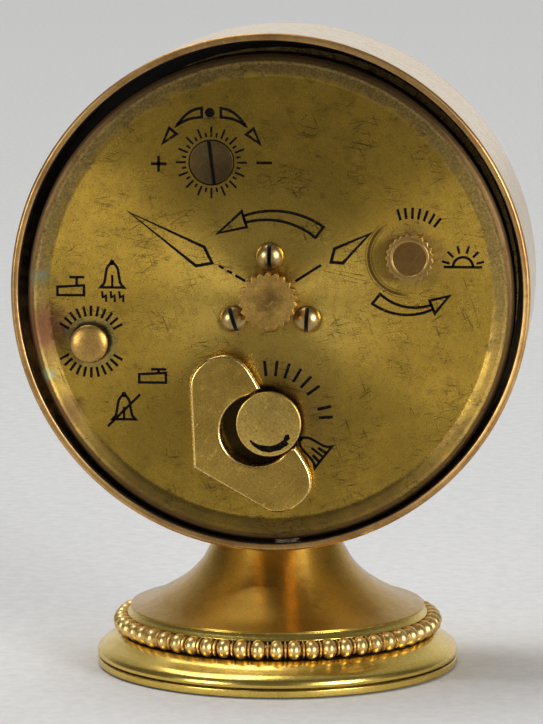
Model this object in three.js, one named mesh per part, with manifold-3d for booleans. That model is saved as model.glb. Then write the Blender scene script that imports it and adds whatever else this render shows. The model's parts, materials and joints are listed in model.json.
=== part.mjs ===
// Pedestal alarm clock: a drum case on a flared, beaded foot, with a key-wound movement inside.
// Millimetres. +Z is up, the origin is on the floor under the foot's axis, the dial faces -Y
// and the back cover, with its knobs and winding key, faces +Y.
import * as THREE from 'three';
import { mergeVertices } from 'three/addons/utils/BufferGeometryUtils.js';
import Module from 'manifold-3d';

const wasm = await Module();
wasm.setup();

// ---------------------------------------------------------------- driving dimensions

// Foot, measured up from the floor.
const FOOT_R = 21.4;
const PAD_R = 20.3;
const PAD_TOP = 0.8;
const RING_TOP = 3.5;
const BEAD_CIRCLE_R = 18.25;
const BEAD_R = 1.3;
const BEAD_Z = 5.1;
const BEAD_COUNT = 57;
const FLARE_RIM_R = 17.45;
const FLARE_RIM_Z = 6.5;
const NECK_R = 7.0;
const SHELL = 0.6;

// Drum case. Depths are measured along the drum's axis, positive towards the back.
const DRUM_R = 30.0;
const DRUM_CENTRE_Z = 45.2;
const DRUM_BACK = 11.0;
const DRUM_FRONT = -11.0;
const DRUM_INNER_R = DRUM_R - SHELL;

// The movement's axis lies a little under the drum's.
const MOVEMENT_DROP = 0.6;
const COVER_BACK = 9.8;
const COVER_INSIDE = 9.3;
const COVER_FLAT_R = 25.65;
const COVER_LIP_R = 27.4;
const COVER_LIP_Z = 10.3;
const COVER_R = 28.3;

// Movement plates.
const FRONT_PLATE_R = 28.2;
const FRONT_PLATE = [-4.5, -3.5];
const REAR_PLATE_R = 25.0;
const REAR_PLATE = [6.0, 7.0];

// Running fits and the gap left between pieces that rest on one another.
const RUNNING = 0.15;
const REST = 0.05;

// Controls on the back cover.
const KNOB_AT = [0, 0];
const SCREWS_AT = [[0, 4.9], [-4.2, -2.4], [4.3, -2.35]];
const SCREW_SLOT_ANGLES = [90, 125, 90];
const BUTTON_AT = [-20.8, -5.25];
const REGULATOR_AT = [-6.75, 15.67];
const WINDER_AT = [0.1, -14.2];
const KEY_AXIS_DEG = 31.5;
const KEY_PIN_Z = 11.3;
const KEY_THICKNESS = 1.3;
const KEY_PIN_R = 0.35;

// Gear modules, and the leaves of every train pinion.
const BARREL_MODULE = 8 / 15;
const TRAIN_MODULE = 0.4;
const FOURTH_MODULE = 1 / 3;
const CANNON_MODULE = 0.45;
const HOUR_MODULE = 0.36;
const ALARM_MODULE = 17 / 24;
const REGULATOR_MODULE = 0.3;
const LEAVES = 6;

// Teeth of the wheels.
const BARREL_TEETH = 36;
const CENTRE_TEETH = 36;
const THIRD_TEETH = 30;
const FOURTH_TEETH = 30;
const WINDER_TEETH = 12;
const GOING_RATCHET_TEETH = 31;
const ALARM_RATCHET_TEETH = 27;
const ALARM_BARREL_TEETH = 24;
const CANNON_TEETH = 8;
const MINUTE_TEETH = 24;
const MINUTE_LEAVES = 8;
const HOUR_TEETH = 32;
const ALARM_TEETH = 36;
const ALARM_SET_LEAVES = 12;
const REGULATOR_LEAVES = 8;
const SECTOR_TEETH = 34;

// Tooth form, in modules: straight-sided teeth with wide gaps.
const ADDENDUM = 0.8;
const WHEEL_DEDENDUM = 1.8;
const PINION_DEDENDUM = 1.05;
const PINION_ROOT_SHARE = 0.36;

// ---------------------------------------------------------------- geometry helpers

const TURN = 2 * Math.PI;
const radians = (degrees) => (degrees * Math.PI) / 180;
const polar = (radius, angle) => [radius * Math.cos(angle), radius * Math.sin(angle)];
const bearing = (from, to) => Math.atan2(to[1] - from[1], to[0] - from[0]);
const offset = (from, radius, degrees) => {
  const [dx, dy] = polar(radius, radians(degrees));
  return [from[0] + dx, from[1] + dy];
};

// Where two circles cross; side picks the crossing to the left (+1) or right (-1) of a to b.
function crossing(a, radiusA, b, radiusB, side) {
  const distance = Math.hypot(b[0] - a[0], b[1] - a[1]);
  const along = (radiusA ** 2 - radiusB ** 2 + distance ** 2) / (2 * distance);
  const across = side * Math.sqrt(radiusA ** 2 - along ** 2);
  const [ux, uy] = [(b[0] - a[0]) / distance, (b[1] - a[1]) / distance];
  return [a[0] + ux * along - uy * across, a[1] + uy * along + ux * across];
}

// Merge equal vertices, drop empty triangles and turn the faces outwards.
function tidy(geometry) {
  const bare = new THREE.BufferGeometry();
  bare.setAttribute('position', geometry.getAttribute('position').clone());
  if (geometry.index) bare.setIndex(geometry.index.clone());
  const merged = mergeVertices(bare, 1e-4);
  const place = merged.getAttribute('position');
  const kept = [];
  const [a, b, c] = [new THREE.Vector3(), new THREE.Vector3(), new THREE.Vector3()];
  let volume = 0;
  for (let i = 0; i < merged.index.count; i += 3) {
    const [p, q, r] = [0, 1, 2].map((corner) => merged.index.getX(i + corner));
    if (p === q || q === r || r === p) continue;
    kept.push([p, q, r]);
    a.fromBufferAttribute(place, p);
    b.fromBufferAttribute(place, q);
    c.fromBufferAttribute(place, r);
    volume += a.dot(b.cross(c));
  }
  if (volume < 0) kept.forEach((face) => face.reverse());
  merged.setIndex(kept.flat());
  return merged;
}

function toSolid(geometry) {
  const clean = tidy(geometry);
  return new wasm.Manifold(new wasm.Mesh({
    numProp: 3,
    vertProperties: new Float32Array(clean.getAttribute('position').array),
    triVerts: new Uint32Array(clean.index.array),
  }));
}

function toGeometry(solid) {
  const { vertProperties, triVerts } = solid.getMesh();
  const geometry = new THREE.BufferGeometry();
  geometry.setAttribute('position', new THREE.BufferAttribute(new Float32Array(vertProperties), 3));
  geometry.setIndex(new THREE.BufferAttribute(new Uint32Array(triVerts), 1));
  return geometry;
}

const fuse = (...pieces) => toGeometry(pieces.map(toSolid).reduce((sum, next) => sum.add(next)));
const cut = (body, ...tools) => toGeometry(
  tools.map(toSolid).reduce((left, tool) => left.subtract(tool), toSolid(body)),
);

// A body of revolution about z, from [radius, z] points. Closed profiles repeat the first point.
function turned(profile, segments) {
  const points = profile.map(([radius, z]) => new THREE.Vector2(radius, z));
  return tidy(new THREE.LatheGeometry(points, segments).rotateX(Math.PI / 2));
}
const turnedRing = (profile, segments) => turned([...profile, profile[0]], segments);

// A round bar along z at [x, y].
function bar(radius, [from, to], at = [0, 0], segments = 12) {
  const geometry = new THREE.CylinderGeometry(radius, radius, to - from, segments);
  return tidy(geometry.rotateX(Math.PI / 2).translate(at[0], at[1], (from + to) / 2));
}

// A tube along z.
const tube = (inner, outer, [from, to], segments) => turnedRing(
  [[inner, from], [outer, from], [outer, to], [inner, to]],
  segments,
);

function circlePath(radius, at = [0, 0], segments = 12) {
  const points = [];
  for (let i = 0; i < segments; i += 1) {
    const [x, y] = polar(radius, (TURN * i) / segments);
    points.push(new THREE.Vector2(at[0] + x, at[1] + y));
  }
  return new THREE.Path(points);
}

// A flat plate between two heights, from an outline of [x, y] points and round holes.
function plate(outline, [from, to], holes = []) {
  const shape = new THREE.Shape(outline.map(([x, y]) => new THREE.Vector2(x, y)));
  shape.holes = holes;
  const geometry = new THREE.ExtrudeGeometry(shape, { depth: to - from, bevelEnabled: false });
  return tidy(geometry.translate(0, 0, from));
}

function circleOutline(radius, segments, at = [0, 0]) {
  return Array.from({ length: segments }, (_, i) => {
    const [x, y] = polar(radius, (TURN * i) / segments);
    return [at[0] + x, at[1] + y];
  });
}

// ---------------------------------------------------------------- gears

// A gear is a centre, a tooth count, a module and the angle of one tooth.
const gear = (at, teeth, size, phase = 0) => ({ at, teeth, size, phase });
const tipRadius = ({ teeth, size }) => (teeth * size) / 2 + ADDENDUM * size;

// A pinion is a little thicker than the wheel it meets.
const widened = ([from, to]) => [from - 0.1, to + 0.1];

// A gear in mesh with another one, its gaps facing the other's teeth.
function meshed(driver, at, teeth) {
  const line = bearing(driver.at, at);
  const pitches = ((line - driver.phase) * driver.teeth) / TURN;
  return gear(at, teeth, driver.size, line + Math.PI + ((pitches + 0.5) * TURN) / teeth);
}

function wheelOutline({ teeth, size, phase }, first = 0, count = teeth) {
  const radius = (teeth * size) / 2;
  const points = [];
  for (let i = first; i < first + count; i += 1) {
    const angle = phase + (TURN * i) / teeth;
    points.push(polar(radius - WHEEL_DEDENDUM * size, angle - Math.PI / teeth));
    points.push(polar(radius + ADDENDUM * size, angle));
  }
  return points;
}

function pinionOutline({ teeth, size, phase }) {
  const radius = (teeth * size) / 2;
  const points = [];
  for (let i = 0; i < teeth; i += 1) {
    const angle = phase + (TURN * i) / teeth;
    const half = (TURN * PINION_ROOT_SHARE) / teeth;
    points.push(polar(radius - PINION_DEDENDUM * size, angle - half));
    points.push(polar(radius + ADDENDUM * size, angle));
    points.push(polar(radius - PINION_DEDENDUM * size, angle + half));
  }
  return points;
}

// Round lightening holes on a circle.
const windows = (count, radius, circle) => Array.from({ length: count }, (_, i) => (
  circlePath(radius, polar(circle, (TURN * i) / count), 6)
));

// A flat spiral spring, wound outwards from one radius to another.
function spiral(inner, outer, turns, thickness, span, stepsPerTurn = 10) {
  const steps = Math.round(turns * stepsPerTurn);
  const edge = (shift) => Array.from({ length: steps + 1 }, (_, i) => (
    polar(inner + ((outer - inner) * i) / steps + shift, (TURN * turns * i) / steps)
  ));
  return plate([...edge(thickness / 2), ...edge(-thickness / 2).reverse()], span);
}

// ---------------------------------------------------------------- movement layout

const CENTRE = [0, 0];
const centreDistance = (size, teethA, teethB) => (size * (teethA + teethB)) / 2;

// Going train. The barrel also meets the winding pinion, through its ratchet.
const barrelGear = gear(
  crossing(
    CENTRE, centreDistance(BARREL_MODULE, BARREL_TEETH, LEAVES),
    WINDER_AT, centreDistance(BARREL_MODULE, WINDER_TEETH, GOING_RATCHET_TEETH), 1,
  ),
  BARREL_TEETH,
  BARREL_MODULE,
);
const centrePinion = meshed(barrelGear, CENTRE, LEAVES);
const centreGear = gear(CENTRE, CENTRE_TEETH, TRAIN_MODULE);
const THIRD_AT = offset(CENTRE, centreDistance(TRAIN_MODULE, CENTRE_TEETH, LEAVES), 120);
const thirdPinion = meshed(centreGear, THIRD_AT, LEAVES);
const thirdGear = gear(THIRD_AT, THIRD_TEETH, TRAIN_MODULE);
const FOURTH_AT = offset(THIRD_AT, centreDistance(TRAIN_MODULE, THIRD_TEETH, LEAVES), 27.5);
const fourthPinion = meshed(thirdGear, FOURTH_AT, LEAVES);
const fourthGear = gear(FOURTH_AT, FOURTH_TEETH, FOURTH_MODULE);
const ESCAPE_AT = offset(FOURTH_AT, centreDistance(FOURTH_MODULE, FOURTH_TEETH, LEAVES), 143.1);
const escapePinion = meshed(fourthGear, ESCAPE_AT, LEAVES);
const LEVER_AT = offset(ESCAPE_AT, 4.5, 206.6);

// Regulator: a pinion under the screw's head turns a sector round the balance's axis.
const REGULATOR_DEG = 236;
const REGULATOR_DISTANCE = centreDistance(REGULATOR_MODULE, REGULATOR_LEAVES, SECTOR_TEETH);
const regulatorPinion = gear(
  REGULATOR_AT, REGULATOR_LEAVES, REGULATOR_MODULE, radians(REGULATOR_DEG),
);
const BALANCE_AT = offset(REGULATOR_AT, REGULATOR_DISTANCE, REGULATOR_DEG);
const regulatorSector = meshed(regulatorPinion, BALANCE_AT, SECTOR_TEETH);

// Winding: one pinion turns both ratchets.
const winderPinion = gear(WINDER_AT, WINDER_TEETH, BARREL_MODULE);
const goingRatchet = meshed(winderPinion, barrelGear.at, GOING_RATCHET_TEETH);
const ALARM_BARREL_AT = offset(
  WINDER_AT, centreDistance(BARREL_MODULE, WINDER_TEETH, ALARM_RATCHET_TEETH), 156,
);
const alarmRatchet = meshed(winderPinion, ALARM_BARREL_AT, ALARM_RATCHET_TEETH);

// Alarm train.
const alarmBarrelGear = gear(ALARM_BARREL_AT, ALARM_BARREL_TEETH, BARREL_MODULE);
const ALARM_ESCAPE_AT = offset(
  ALARM_BARREL_AT, centreDistance(BARREL_MODULE, ALARM_BARREL_TEETH, LEAVES), 127,
);
const alarmEscapePinion = meshed(alarmBarrelGear, ALARM_ESCAPE_AT, LEAVES);
const HAMMER_AT = [-18.5, 2.0];
const HAMMER_HEAD_AT = [-22.6, -8.0];
const SOUNDING_POST_AT = [-18.7, -9.6];

// Motion work behind the dial.
const cannonGear = gear(CENTRE, CANNON_TEETH, CANNON_MODULE);
const MINUTE_WHEEL_AT = offset(
  CENTRE, centreDistance(CANNON_MODULE, CANNON_TEETH, MINUTE_TEETH), 230,
);
const minuteGear = meshed(cannonGear, MINUTE_WHEEL_AT, MINUTE_TEETH);
const hourGear = gear(CENTRE, HOUR_TEETH, HOUR_MODULE);
const minutePinion = meshed(hourGear, MINUTE_WHEEL_AT, MINUTE_LEAVES);

const ALARM_SET_AT = polar(
  centreDistance(ALARM_MODULE, ALARM_TEETH, ALARM_SET_LEAVES), Math.atan2(5.1, 16.3),
);
const alarmGear = gear(CENTRE, ALARM_TEETH, ALARM_MODULE);
const alarmSetPinion = meshed(alarmGear, ALARM_SET_AT, ALARM_SET_LEAVES);

const PILLARS_AT = [offset(CENTRE, 21.5, 75), offset(CENTRE, 22, -60), offset(CENTRE, 22.5, 215)];
const GOING_CLICK_AT = offset(barrelGear.at, 11.0, -10);
const ALARM_CLICK_AT = offset(ALARM_BARREL_AT, 10.0, 265);
const BRIDGE_POST_ANGLES = [40, 140, 188];
const BRIDGE_POST_CIRCLE = 5.8;

// Heights of the layers between and outside the plates.
const BETWEEN_PLATES = [FRONT_PLATE[1] + RUNNING, REAR_PLATE[0] - RUNNING];
const PIVOTS = [FRONT_PLATE[0] + 0.2, REAR_PLATE[1] - 0.2];
const RATCHET_LAYER = [7.4, 8.4];
const BRIDGE_LAYER = [8.6, 9.15];
const LEVER_LAYER = [-0.5, 0.0];
const REGULATOR_LAYER = [4.15, 4.45];
const COCK_LAYER = [4.7, 5.4];
const MINUTE_WHEEL_LAYER = [-5.3, -4.8];
const HOUR_WHEEL_LAYER = [-6.1, -5.6];
const ALARM_WHEEL_LAYER = [-7.0, -6.5];
const DIAL_LAYER = [-7.8, -7.4];
const ALARM_HAND_LAYER = [-8.6, -8.4];
const HOUR_HAND_LAYER = [-9.3, -9.1];
const MINUTE_HAND_LAYER = [-10.0, -9.8];
const BARREL_LAYER = [-2.8, -1.8];
const CENTRE_WHEEL_LAYER = [4.3, 4.9];
const THIRD_WHEEL_LAYER = [2.6, 3.2];
const FOURTH_WHEEL_LAYER = [0.6, 1.2];
const ESCAPE_WHEEL_LAYER = [-1.4, -0.8];
const BALANCE_LAYER = [1.4, 2.2];
const HAIRSPRING_LAYER = [3.5, 3.85];
const HAMMER_LAYER = [0.6, 1.2];
const CAP_HUBS = [9.2, 11.3];

// Arbor radii.
const PIVOT_R = 0.4;
const ARBOR_R = 0.5;
const BARREL_ARBOR_R = 1.1;
const WINDER_R = 1.2;
const CANNON_R = [0.6, 0.95];
const HOUR_PIPE_R = [1.15, 1.45];
const ALARM_PIPE_R = [1.7, 2.0];

// ---------------------------------------------------------------- materials

const finish = (color, roughness, metalness) => (
  new THREE.MeshStandardMaterial({ color, roughness, metalness })
);
const looks = {
  polishedBrass: finish(0xd8ac55, 0.2, 1.0),
  satinBrass: finish(0xc39a55, 0.4, 1.0),
  agedBrass: finish(0x8f7b43, 0.45, 1.0),
  copperBrass: finish(0xc08a55, 0.35, 1.0),
  movementBrass: finish(0xb8963f, 0.35, 1.0),
  steel: finish(0x8d8c88, 0.35, 1.0),
  blueSteel: finish(0x2c3550, 0.3, 1.0),
  dialPaper: finish(0xe9e2cd, 0.7, 0.0),
  lume: finish(0x1b1b1b, 0.5, 0.0),
  felt: finish(0x3b3b30, 0.95, 0.0),
  glass: new THREE.MeshStandardMaterial({
    color: 0xf2f6f5, roughness: 0.05, metalness: 0.0, transparent: true, opacity: 0.35,
  }),
};

function piece(name, geometry, material, at = [0, 0]) {
  const mesh = new THREE.Mesh(geometry, material);
  mesh.name = name;
  mesh.position.set(at[0], at[1], 0);
  return mesh;
}

// ---------------------------------------------------------------- foot

function basePad() {
  return piece('base_pad', bar(PAD_R, [0, PAD_TOP], CENTRE, 60), looks.felt);
}

// A stamped ring with a groove over its straight edge, an ogee and a flat web for the bolt.
function baseRing() {
  const outer = [
    [20.6, 0.15], [FOOT_R, 0.15], [FOOT_R, 0.95], [21.1, 1.1], [21.35, 1.4], [20.7, 2.35],
    [19.15, RING_TOP],
  ];
  const web = [[1.7, RING_TOP], [1.7, RING_TOP - 0.7], [18.6, RING_TOP - 0.7], [20.6, 1.3]];
  return piece('base_ring', turnedRing([...outer, ...web], 60), looks.polishedBrass);
}

// One row of beads: a ring whose section swells and shrinks once for each bead.
function beadRing() {
  const around = 2 * BEAD_COUNT;
  const section = 6;
  const waist = 0.35;
  const points = [];
  const faces = [];
  for (let i = 0; i < around; i += 1) {
    const swell = i % 2 === 0 ? BEAD_R : BEAD_R - waist;
    for (let k = 0; k < section; k += 1) {
      const tilt = (TURN * k) / section;
      const [x, y] = polar(BEAD_CIRCLE_R + swell * Math.cos(tilt), (TURN * i) / around);
      points.push(x, y, BEAD_Z + swell * Math.sin(tilt));
      const [here, next] = [i * section, ((i + 1) % around) * section];
      const up = (k + 1) % section;
      faces.push(here + k, next + k, next + up, here + k, next + up, here + up);
    }
  }
  const geometry = new THREE.BufferGeometry();
  geometry.setAttribute('position', new THREE.Float32BufferAttribute(points, 3));
  geometry.setIndex(faces);
  return piece('bead_ring', tidy(geometry), looks.agedBrass);
}

// The trumpet foot, cut at the top to the drum's curve.
function pedestalFlare() {
  const outer = [
    [FLARE_RIM_R - 1.2, FLARE_RIM_Z + 0.1], [FLARE_RIM_R, FLARE_RIM_Z + 0.1],
    [FLARE_RIM_R, FLARE_RIM_Z + 0.5], [13.3, 8.8], [9.9, 11.2], [7.9, 13.9], [NECK_R, 17.2],
  ];
  const inner = [[NECK_R - 1.0, 17.2], [6.9, 14.0], [9.0, 11.0]];
  const drum = new THREE.CylinderGeometry(DRUM_R + REST, DRUM_R + REST, 60, 120);
  drum.translate(0, 0, DRUM_CENTRE_Z);
  const body = cut(turnedRing([...outer, ...inner], 48), drum);
  return piece('pedestal_flare', body, looks.satinBrass);
}

function pedestalBolt() {
  const head = bar(3.0, [1.4, 2.7], CENTRE, 6);
  const shank = bar(1.4, [2.6, 18.4], CENTRE, 12);
  return piece('pedestal_bolt', fuse(head, shank), looks.steel);
}

function pedestalNut() {
  const blank = bar(3.0, [16.15, 17.9], CENTRE, 6);
  return piece('pedestal_nut', cut(blank, bar(1.55, [16, 18.1], CENTRE, 12)), looks.steel);
}

// ---------------------------------------------------------------- case, on the drum's axis

function caseDrum() {
  const profile = [
    [DRUM_R, DRUM_FRONT], [DRUM_R, DRUM_BACK - 0.25], [DRUM_R - 0.3, DRUM_BACK],
    [DRUM_INNER_R, DRUM_BACK - 0.25], [DRUM_INNER_R, -5.4],
    [27.3, -5.4], [27.3, -6.5], [DRUM_INNER_R, -6.5], [DRUM_INNER_R, DRUM_FRONT],
  ];
  const boltHole = new THREE.CylinderGeometry(1.75, 1.75, 6, 8).translate(0, -DRUM_R, 0);
  return piece('case_drum', cut(turnedRing(profile, 72), boltHole), looks.polishedBrass);
}

// The bezel's skirt slides into the case, and its lip holds the glass.
function frontBezel() {
  const profile = [
    [28.4, -8.2], [29.1, -8.2], [29.1, -11.1], [30.0, -11.1], [29.9, -12.4], [28.6, -13.8],
    [26.9, -13.8], [26.4, -13.2], [28.0, -13.1], [28.0, -11.7],
  ];
  return piece('front_bezel', turnedRing(profile, 72), looks.polishedBrass);
}

function frontGlass() {
  const [rimR, bulge, thickness, apex] = [27.7, 1.5, 0.9, -14.4];
  const rise = (radius) => apex + bulge * (radius / rimR) ** 2;
  const radii = [0, rimR / 2, rimR];
  const outside = radii.map((radius) => [radius, rise(radius)]);
  const inside = [...radii].reverse().map((radius) => [radius, rise(radius) + thickness]);
  return piece('front_glass', turned([...outside, ...inside], 60), looks.glass);
}

// ---------------------------------------------------------------- dial, cover and fasteners

function dial() {
  const face = plate(circleOutline(FRONT_PLATE_R, 60), DIAL_LAYER, [circlePath(2.3, CENTRE, 12)]);
  const feet = [30, 150, 270].map((degrees) => (
    bar(0.8, [DIAL_LAYER[1] - 0.2, FRONT_PLATE[0] - REST], offset(CENTRE, 23.5, degrees), 6)
  ));
  return piece('dial', fuse(face, ...feet), looks.dialPaper);
}

function backCover() {
  const profile = [
    [0, COVER_BACK], [COVER_FLAT_R, COVER_BACK], [COVER_LIP_R, COVER_LIP_Z], [COVER_R, 9.1],
    [COVER_R, 6.0], [COVER_R - 0.5, 6.0], [COVER_R - 0.5, 9.0], [COVER_LIP_R, COVER_LIP_Z - 0.6],
    [COVER_FLAT_R, COVER_INSIDE], [0, COVER_INSIDE],
  ];
  const span = [COVER_INSIDE - 1, COVER_BACK + 1];
  const holes = [
    bar(1.0 + RUNNING, span, KNOB_AT, 10),
    ...SCREWS_AT.map((at) => bar(0.9, span, at, 8)),
    bar(0.9 + RUNNING, span, ALARM_SET_AT, 10),
    bar(0.8 + RUNNING, span, BUTTON_AT, 10),
    bar(2.53 + RUNNING, span, REGULATOR_AT, 20),
    bar(WINDER_R + RUNNING, span, WINDER_AT, 10),
  ];
  return piece('back_cover', cut(turned(profile, 72), ...holes), looks.agedBrass);
}

// Round-head slotted screws into the bridge behind the cover.
function backScrews() {
  return SCREWS_AT.map((at, i) => {
    const under = COVER_BACK + REST;
    const profile = [
      [0, BRIDGE_LAYER[0]], [0.7, BRIDGE_LAYER[0]], [0.7, under], [1.6, under],
      [1.55, under + 0.4], [1.1, under + 0.95], [0, under + 1.15],
    ];
    const slot = new THREE.BoxGeometry(4, 0.46, 0.6).translate(0, 0, under + 1.0);
    slot.rotateZ(radians(SCREW_SLOT_ANGLES[i]));
    return piece(`back_screw_${i + 1}`, cut(turned(profile, 16), slot), looks.steel, at);
  });
}

// A bridge on three posts that the cover screws pull against.
function coverBridge() {
  const holes = [
    circlePath(1.0 + RUNNING, CENTRE, 8),
    ...SCREWS_AT.map((at) => circlePath(0.7 + RUNNING, at, 6)),
  ];
  const top = plate(circleOutline(6.6, 16), BRIDGE_LAYER, holes);
  const span = [REAR_PLATE[1] + REST, BRIDGE_LAYER[0] + 0.2];
  const posts = BRIDGE_POST_ANGLES.map((degrees) => (
    bar(0.8, span, offset(CENTRE, BRIDGE_POST_CIRCLE, degrees), 6)
  ));
  return piece('cover_bridge', fuse(top, ...posts), looks.movementBrass);
}

// ---------------------------------------------------------------- plates and posts

const PLATE_PIVOTS = [
  THIRD_AT, FOURTH_AT, ESCAPE_AT, ALARM_ESCAPE_AT, HAMMER_AT,
];

function frontPlate() {
  const holes = [
    circlePath(0.95 + RUNNING, CENTRE, 8),
    ...[...PLATE_PIVOTS, BALANCE_AT].map((at) => circlePath(PIVOT_R + RUNNING, at, 6)),
    ...[barrelGear.at, ALARM_BARREL_AT].map((at) => circlePath(BARREL_ARBOR_R + RUNNING, at, 8)),
    circlePath(ARBOR_R + RUNNING, ALARM_SET_AT, 6),
  ];
  const sheet = plate(circleOutline(FRONT_PLATE_R, 48), FRONT_PLATE, holes);
  const minuteStud = bar(0.45, [-6.3, FRONT_PLATE[0] + 0.2], MINUTE_WHEEL_AT, 8);
  const leverStud = bar(0.45, [FRONT_PLATE[1] - 0.2, 0.5], LEVER_AT, 8);
  return piece('front_plate', fuse(sheet, minuteStud, leverStud), looks.movementBrass);
}

function rearPlate() {
  const holes = [
    circlePath(1.0 + RUNNING, CENTRE, 8),
    ...PLATE_PIVOTS.map((at) => circlePath(PIVOT_R + RUNNING, at, 6)),
    ...[barrelGear.at, ALARM_BARREL_AT].map((at) => circlePath(BARREL_ARBOR_R + RUNNING, at, 8)),
    circlePath(ARBOR_R + RUNNING, ALARM_SET_AT, 6),
    circlePath(ARBOR_R + RUNNING, REGULATOR_AT, 6),
    circlePath(0.8 + RUNNING, BUTTON_AT, 8),
    circlePath(1.5, SOUNDING_POST_AT, 8),
    circlePath(WINDER_R + RUNNING, WINDER_AT, 8),
  ];
  const sheet = plate(circleOutline(REAR_PLATE_R, 48), REAR_PLATE, holes);
  const studs = [GOING_CLICK_AT, ALARM_CLICK_AT].map((at) => (
    bar(0.45, [REAR_PLATE[1] - 0.2, RATCHET_LAYER[1]], at, 8)
  ));
  return piece('rear_plate', fuse(sheet, ...studs), looks.movementBrass);
}

function pillars() {
  const span = [FRONT_PLATE[1] + REST, REAR_PLATE[0] - REST];
  return PILLARS_AT.map((at, i) => (
    piece(`pillar_${i + 1}`, bar(1.4, span, CENTRE, 10), looks.steel, at)
  ));
}

// A bar that carries the balance's upper pivot, with a foot that meets the rear plate.
function balanceCock() {
  const outward = radians(45 + 90);
  const [ux, uy] = polar(1, outward);
  const length = 8.0;
  const half = 1.6;
  const outline = [];
  for (let i = 0; i <= 6; i += 1) {
    outline.push(polar(half, outward + Math.PI / 2 + (Math.PI * i) / 6));
  }
  outline.push([ux * length + uy * half, uy * length - ux * half]);
  outline.push([ux * length - uy * half, uy * length + ux * half]);
  const arm = plate(outline, COCK_LAYER, [circlePath(PIVOT_R + RUNNING, CENTRE, 8)]);
  const foot = bar(1.4, [COCK_LAYER[0], REAR_PLATE[0] - REST], polar(6.4, outward), 10);
  return piece('balance_cock', fuse(arm, foot), looks.movementBrass, BALANCE_AT);
}

function soundingPost() {
  const post = bar(1.0, [0.2, COVER_INSIDE - REST], CENTRE, 12);
  return piece('sounding_post', post, looks.steel, SOUNDING_POST_AT);
}

function buttonGuide() {
  const guide = tube(0.8 + RUNNING, 1.5, [REAR_PLATE[1] + REST, COVER_INSIDE - REST], 12);
  return piece('button_guide', guide, looks.movementBrass, BUTTON_AT);
}

// ---------------------------------------------------------------- hand setting and motion work

// A knurled disc with V-shaped teeth round its edge.
function knurled(radius, depth, teeth, span) {
  const outline = [];
  for (let i = 0; i < teeth; i += 1) {
    outline.push(polar(radius - depth, (TURN * i) / teeth));
    outline.push(polar(radius, (TURN * (i + 0.5)) / teeth));
  }
  return plate(outline, span);
}

function timeSetKnob() {
  const hub = bar(1.0, CAP_HUBS, CENTRE, 12);
  const knob = cut(fuse(knurled(3.34, 0.35, 22, [11.2, 12.8]), hub), bar(0.6, [9, 10.9], CENTRE, 8));
  return piece('time_set_knob', knob, looks.copperBrass);
}

function centreArbor() {
  return piece('centre_arbor', bar(0.45, [-9.9, 10.8], CENTRE, 8), looks.steel);
}

function cannonPinion() {
  const pinion = plate(pinionOutline(cannonGear), [-5.35, -4.75]);
  const pipe = bar(CANNON_R[1], [MINUTE_HAND_LAYER[0] + 0.5, -4.8], CENTRE, 12);
  const bore = bar(CANNON_R[0], [-11, -4], CENTRE, 8);
  return piece('cannon_pinion', cut(fuse(pinion, pipe), bore), looks.movementBrass);
}

// A hand: a boss on the axis and a tapered blade, pointing along the given angle.
function hand(length, width, boss, bore, layer, degrees) {
  const outline = [];
  const tail = Math.asin(width / 2 / boss);
  for (let i = 0; i <= 10; i += 1) outline.push(polar(boss, tail + ((TURN - 2 * tail) * i) / 10));
  outline.push([length * 0.62, -width * 0.72], [length, 0], [length * 0.62, width * 0.72]);
  const blade = plate(outline, layer, [circlePath(bore, CENTRE, 10)]);
  return blade.rotateZ(radians(degrees));
}

function minuteHand() {
  return piece('minute_hand', hand(21.5, 1.5, 1.9, 0.6, MINUTE_HAND_LAYER, 148), looks.lume);
}

function minuteWheel() {
  const disc = plate(wheelOutline(minuteGear), MINUTE_WHEEL_LAYER);
  const pinion = plate(pinionOutline(minutePinion), [HOUR_WHEEL_LAYER[0] - 0.05, -5.2]);
  const bore = bar(0.45 + RUNNING, [-7, -4], CENTRE, 8);
  return piece('minute_wheel', cut(fuse(disc, pinion), bore), looks.movementBrass, MINUTE_WHEEL_AT);
}

function hourWheel() {
  const disc = plate(wheelOutline(hourGear), HOUR_WHEEL_LAYER);
  const pipe = bar(HOUR_PIPE_R[1], [HOUR_HAND_LAYER[0] + 0.4, -5.7], CENTRE, 12);
  const bore = bar(HOUR_PIPE_R[0], [-11, -4], CENTRE, 12);
  return piece('hour_wheel', cut(fuse(disc, pipe), bore), looks.movementBrass);
}

function hourHand() {
  return piece('hour_hand', hand(14.5, 2.0, 2.3, HOUR_PIPE_R[0], HOUR_HAND_LAYER, 40), looks.lume);
}

// ---------------------------------------------------------------- alarm setting

function alarmSetKnob() {
  const rim = knurled(2.77, 0.25, 21, [11.2, 12.2]);
  const face = turned([[0, 12.1], [2.23, 12.1], [2.0, 12.5], [0, 12.3]], 16);
  const hub = bar(0.9, CAP_HUBS, CENTRE, 12);
  const knob = cut(fuse(rim, face, hub), bar(0.6, [9, 10.9], CENTRE, 8));
  return piece('alarm_set_knob', knob, looks.copperBrass, ALARM_SET_AT);
}

function alarmSetArbor() {
  const shaft = bar(ARBOR_R - 0.05, [-7.1, 10.8], CENTRE, 8);
  const pinion = plate(pinionOutline(alarmSetPinion), [-7.05, -6.45]);
  return piece('alarm_set_arbor', fuse(shaft, pinion), looks.steel, ALARM_SET_AT);
}

function alarmWheel() {
  const disc = plate(wheelOutline(alarmGear), ALARM_WHEEL_LAYER);
  const pipe = bar(ALARM_PIPE_R[1], [ALARM_HAND_LAYER[0] + 0.4, -6.7], CENTRE, 12);
  const bore = bar(ALARM_PIPE_R[0], [-11, -4], CENTRE, 12);
  return piece('alarm_wheel', cut(fuse(disc, pipe), bore), looks.movementBrass);
}

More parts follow.
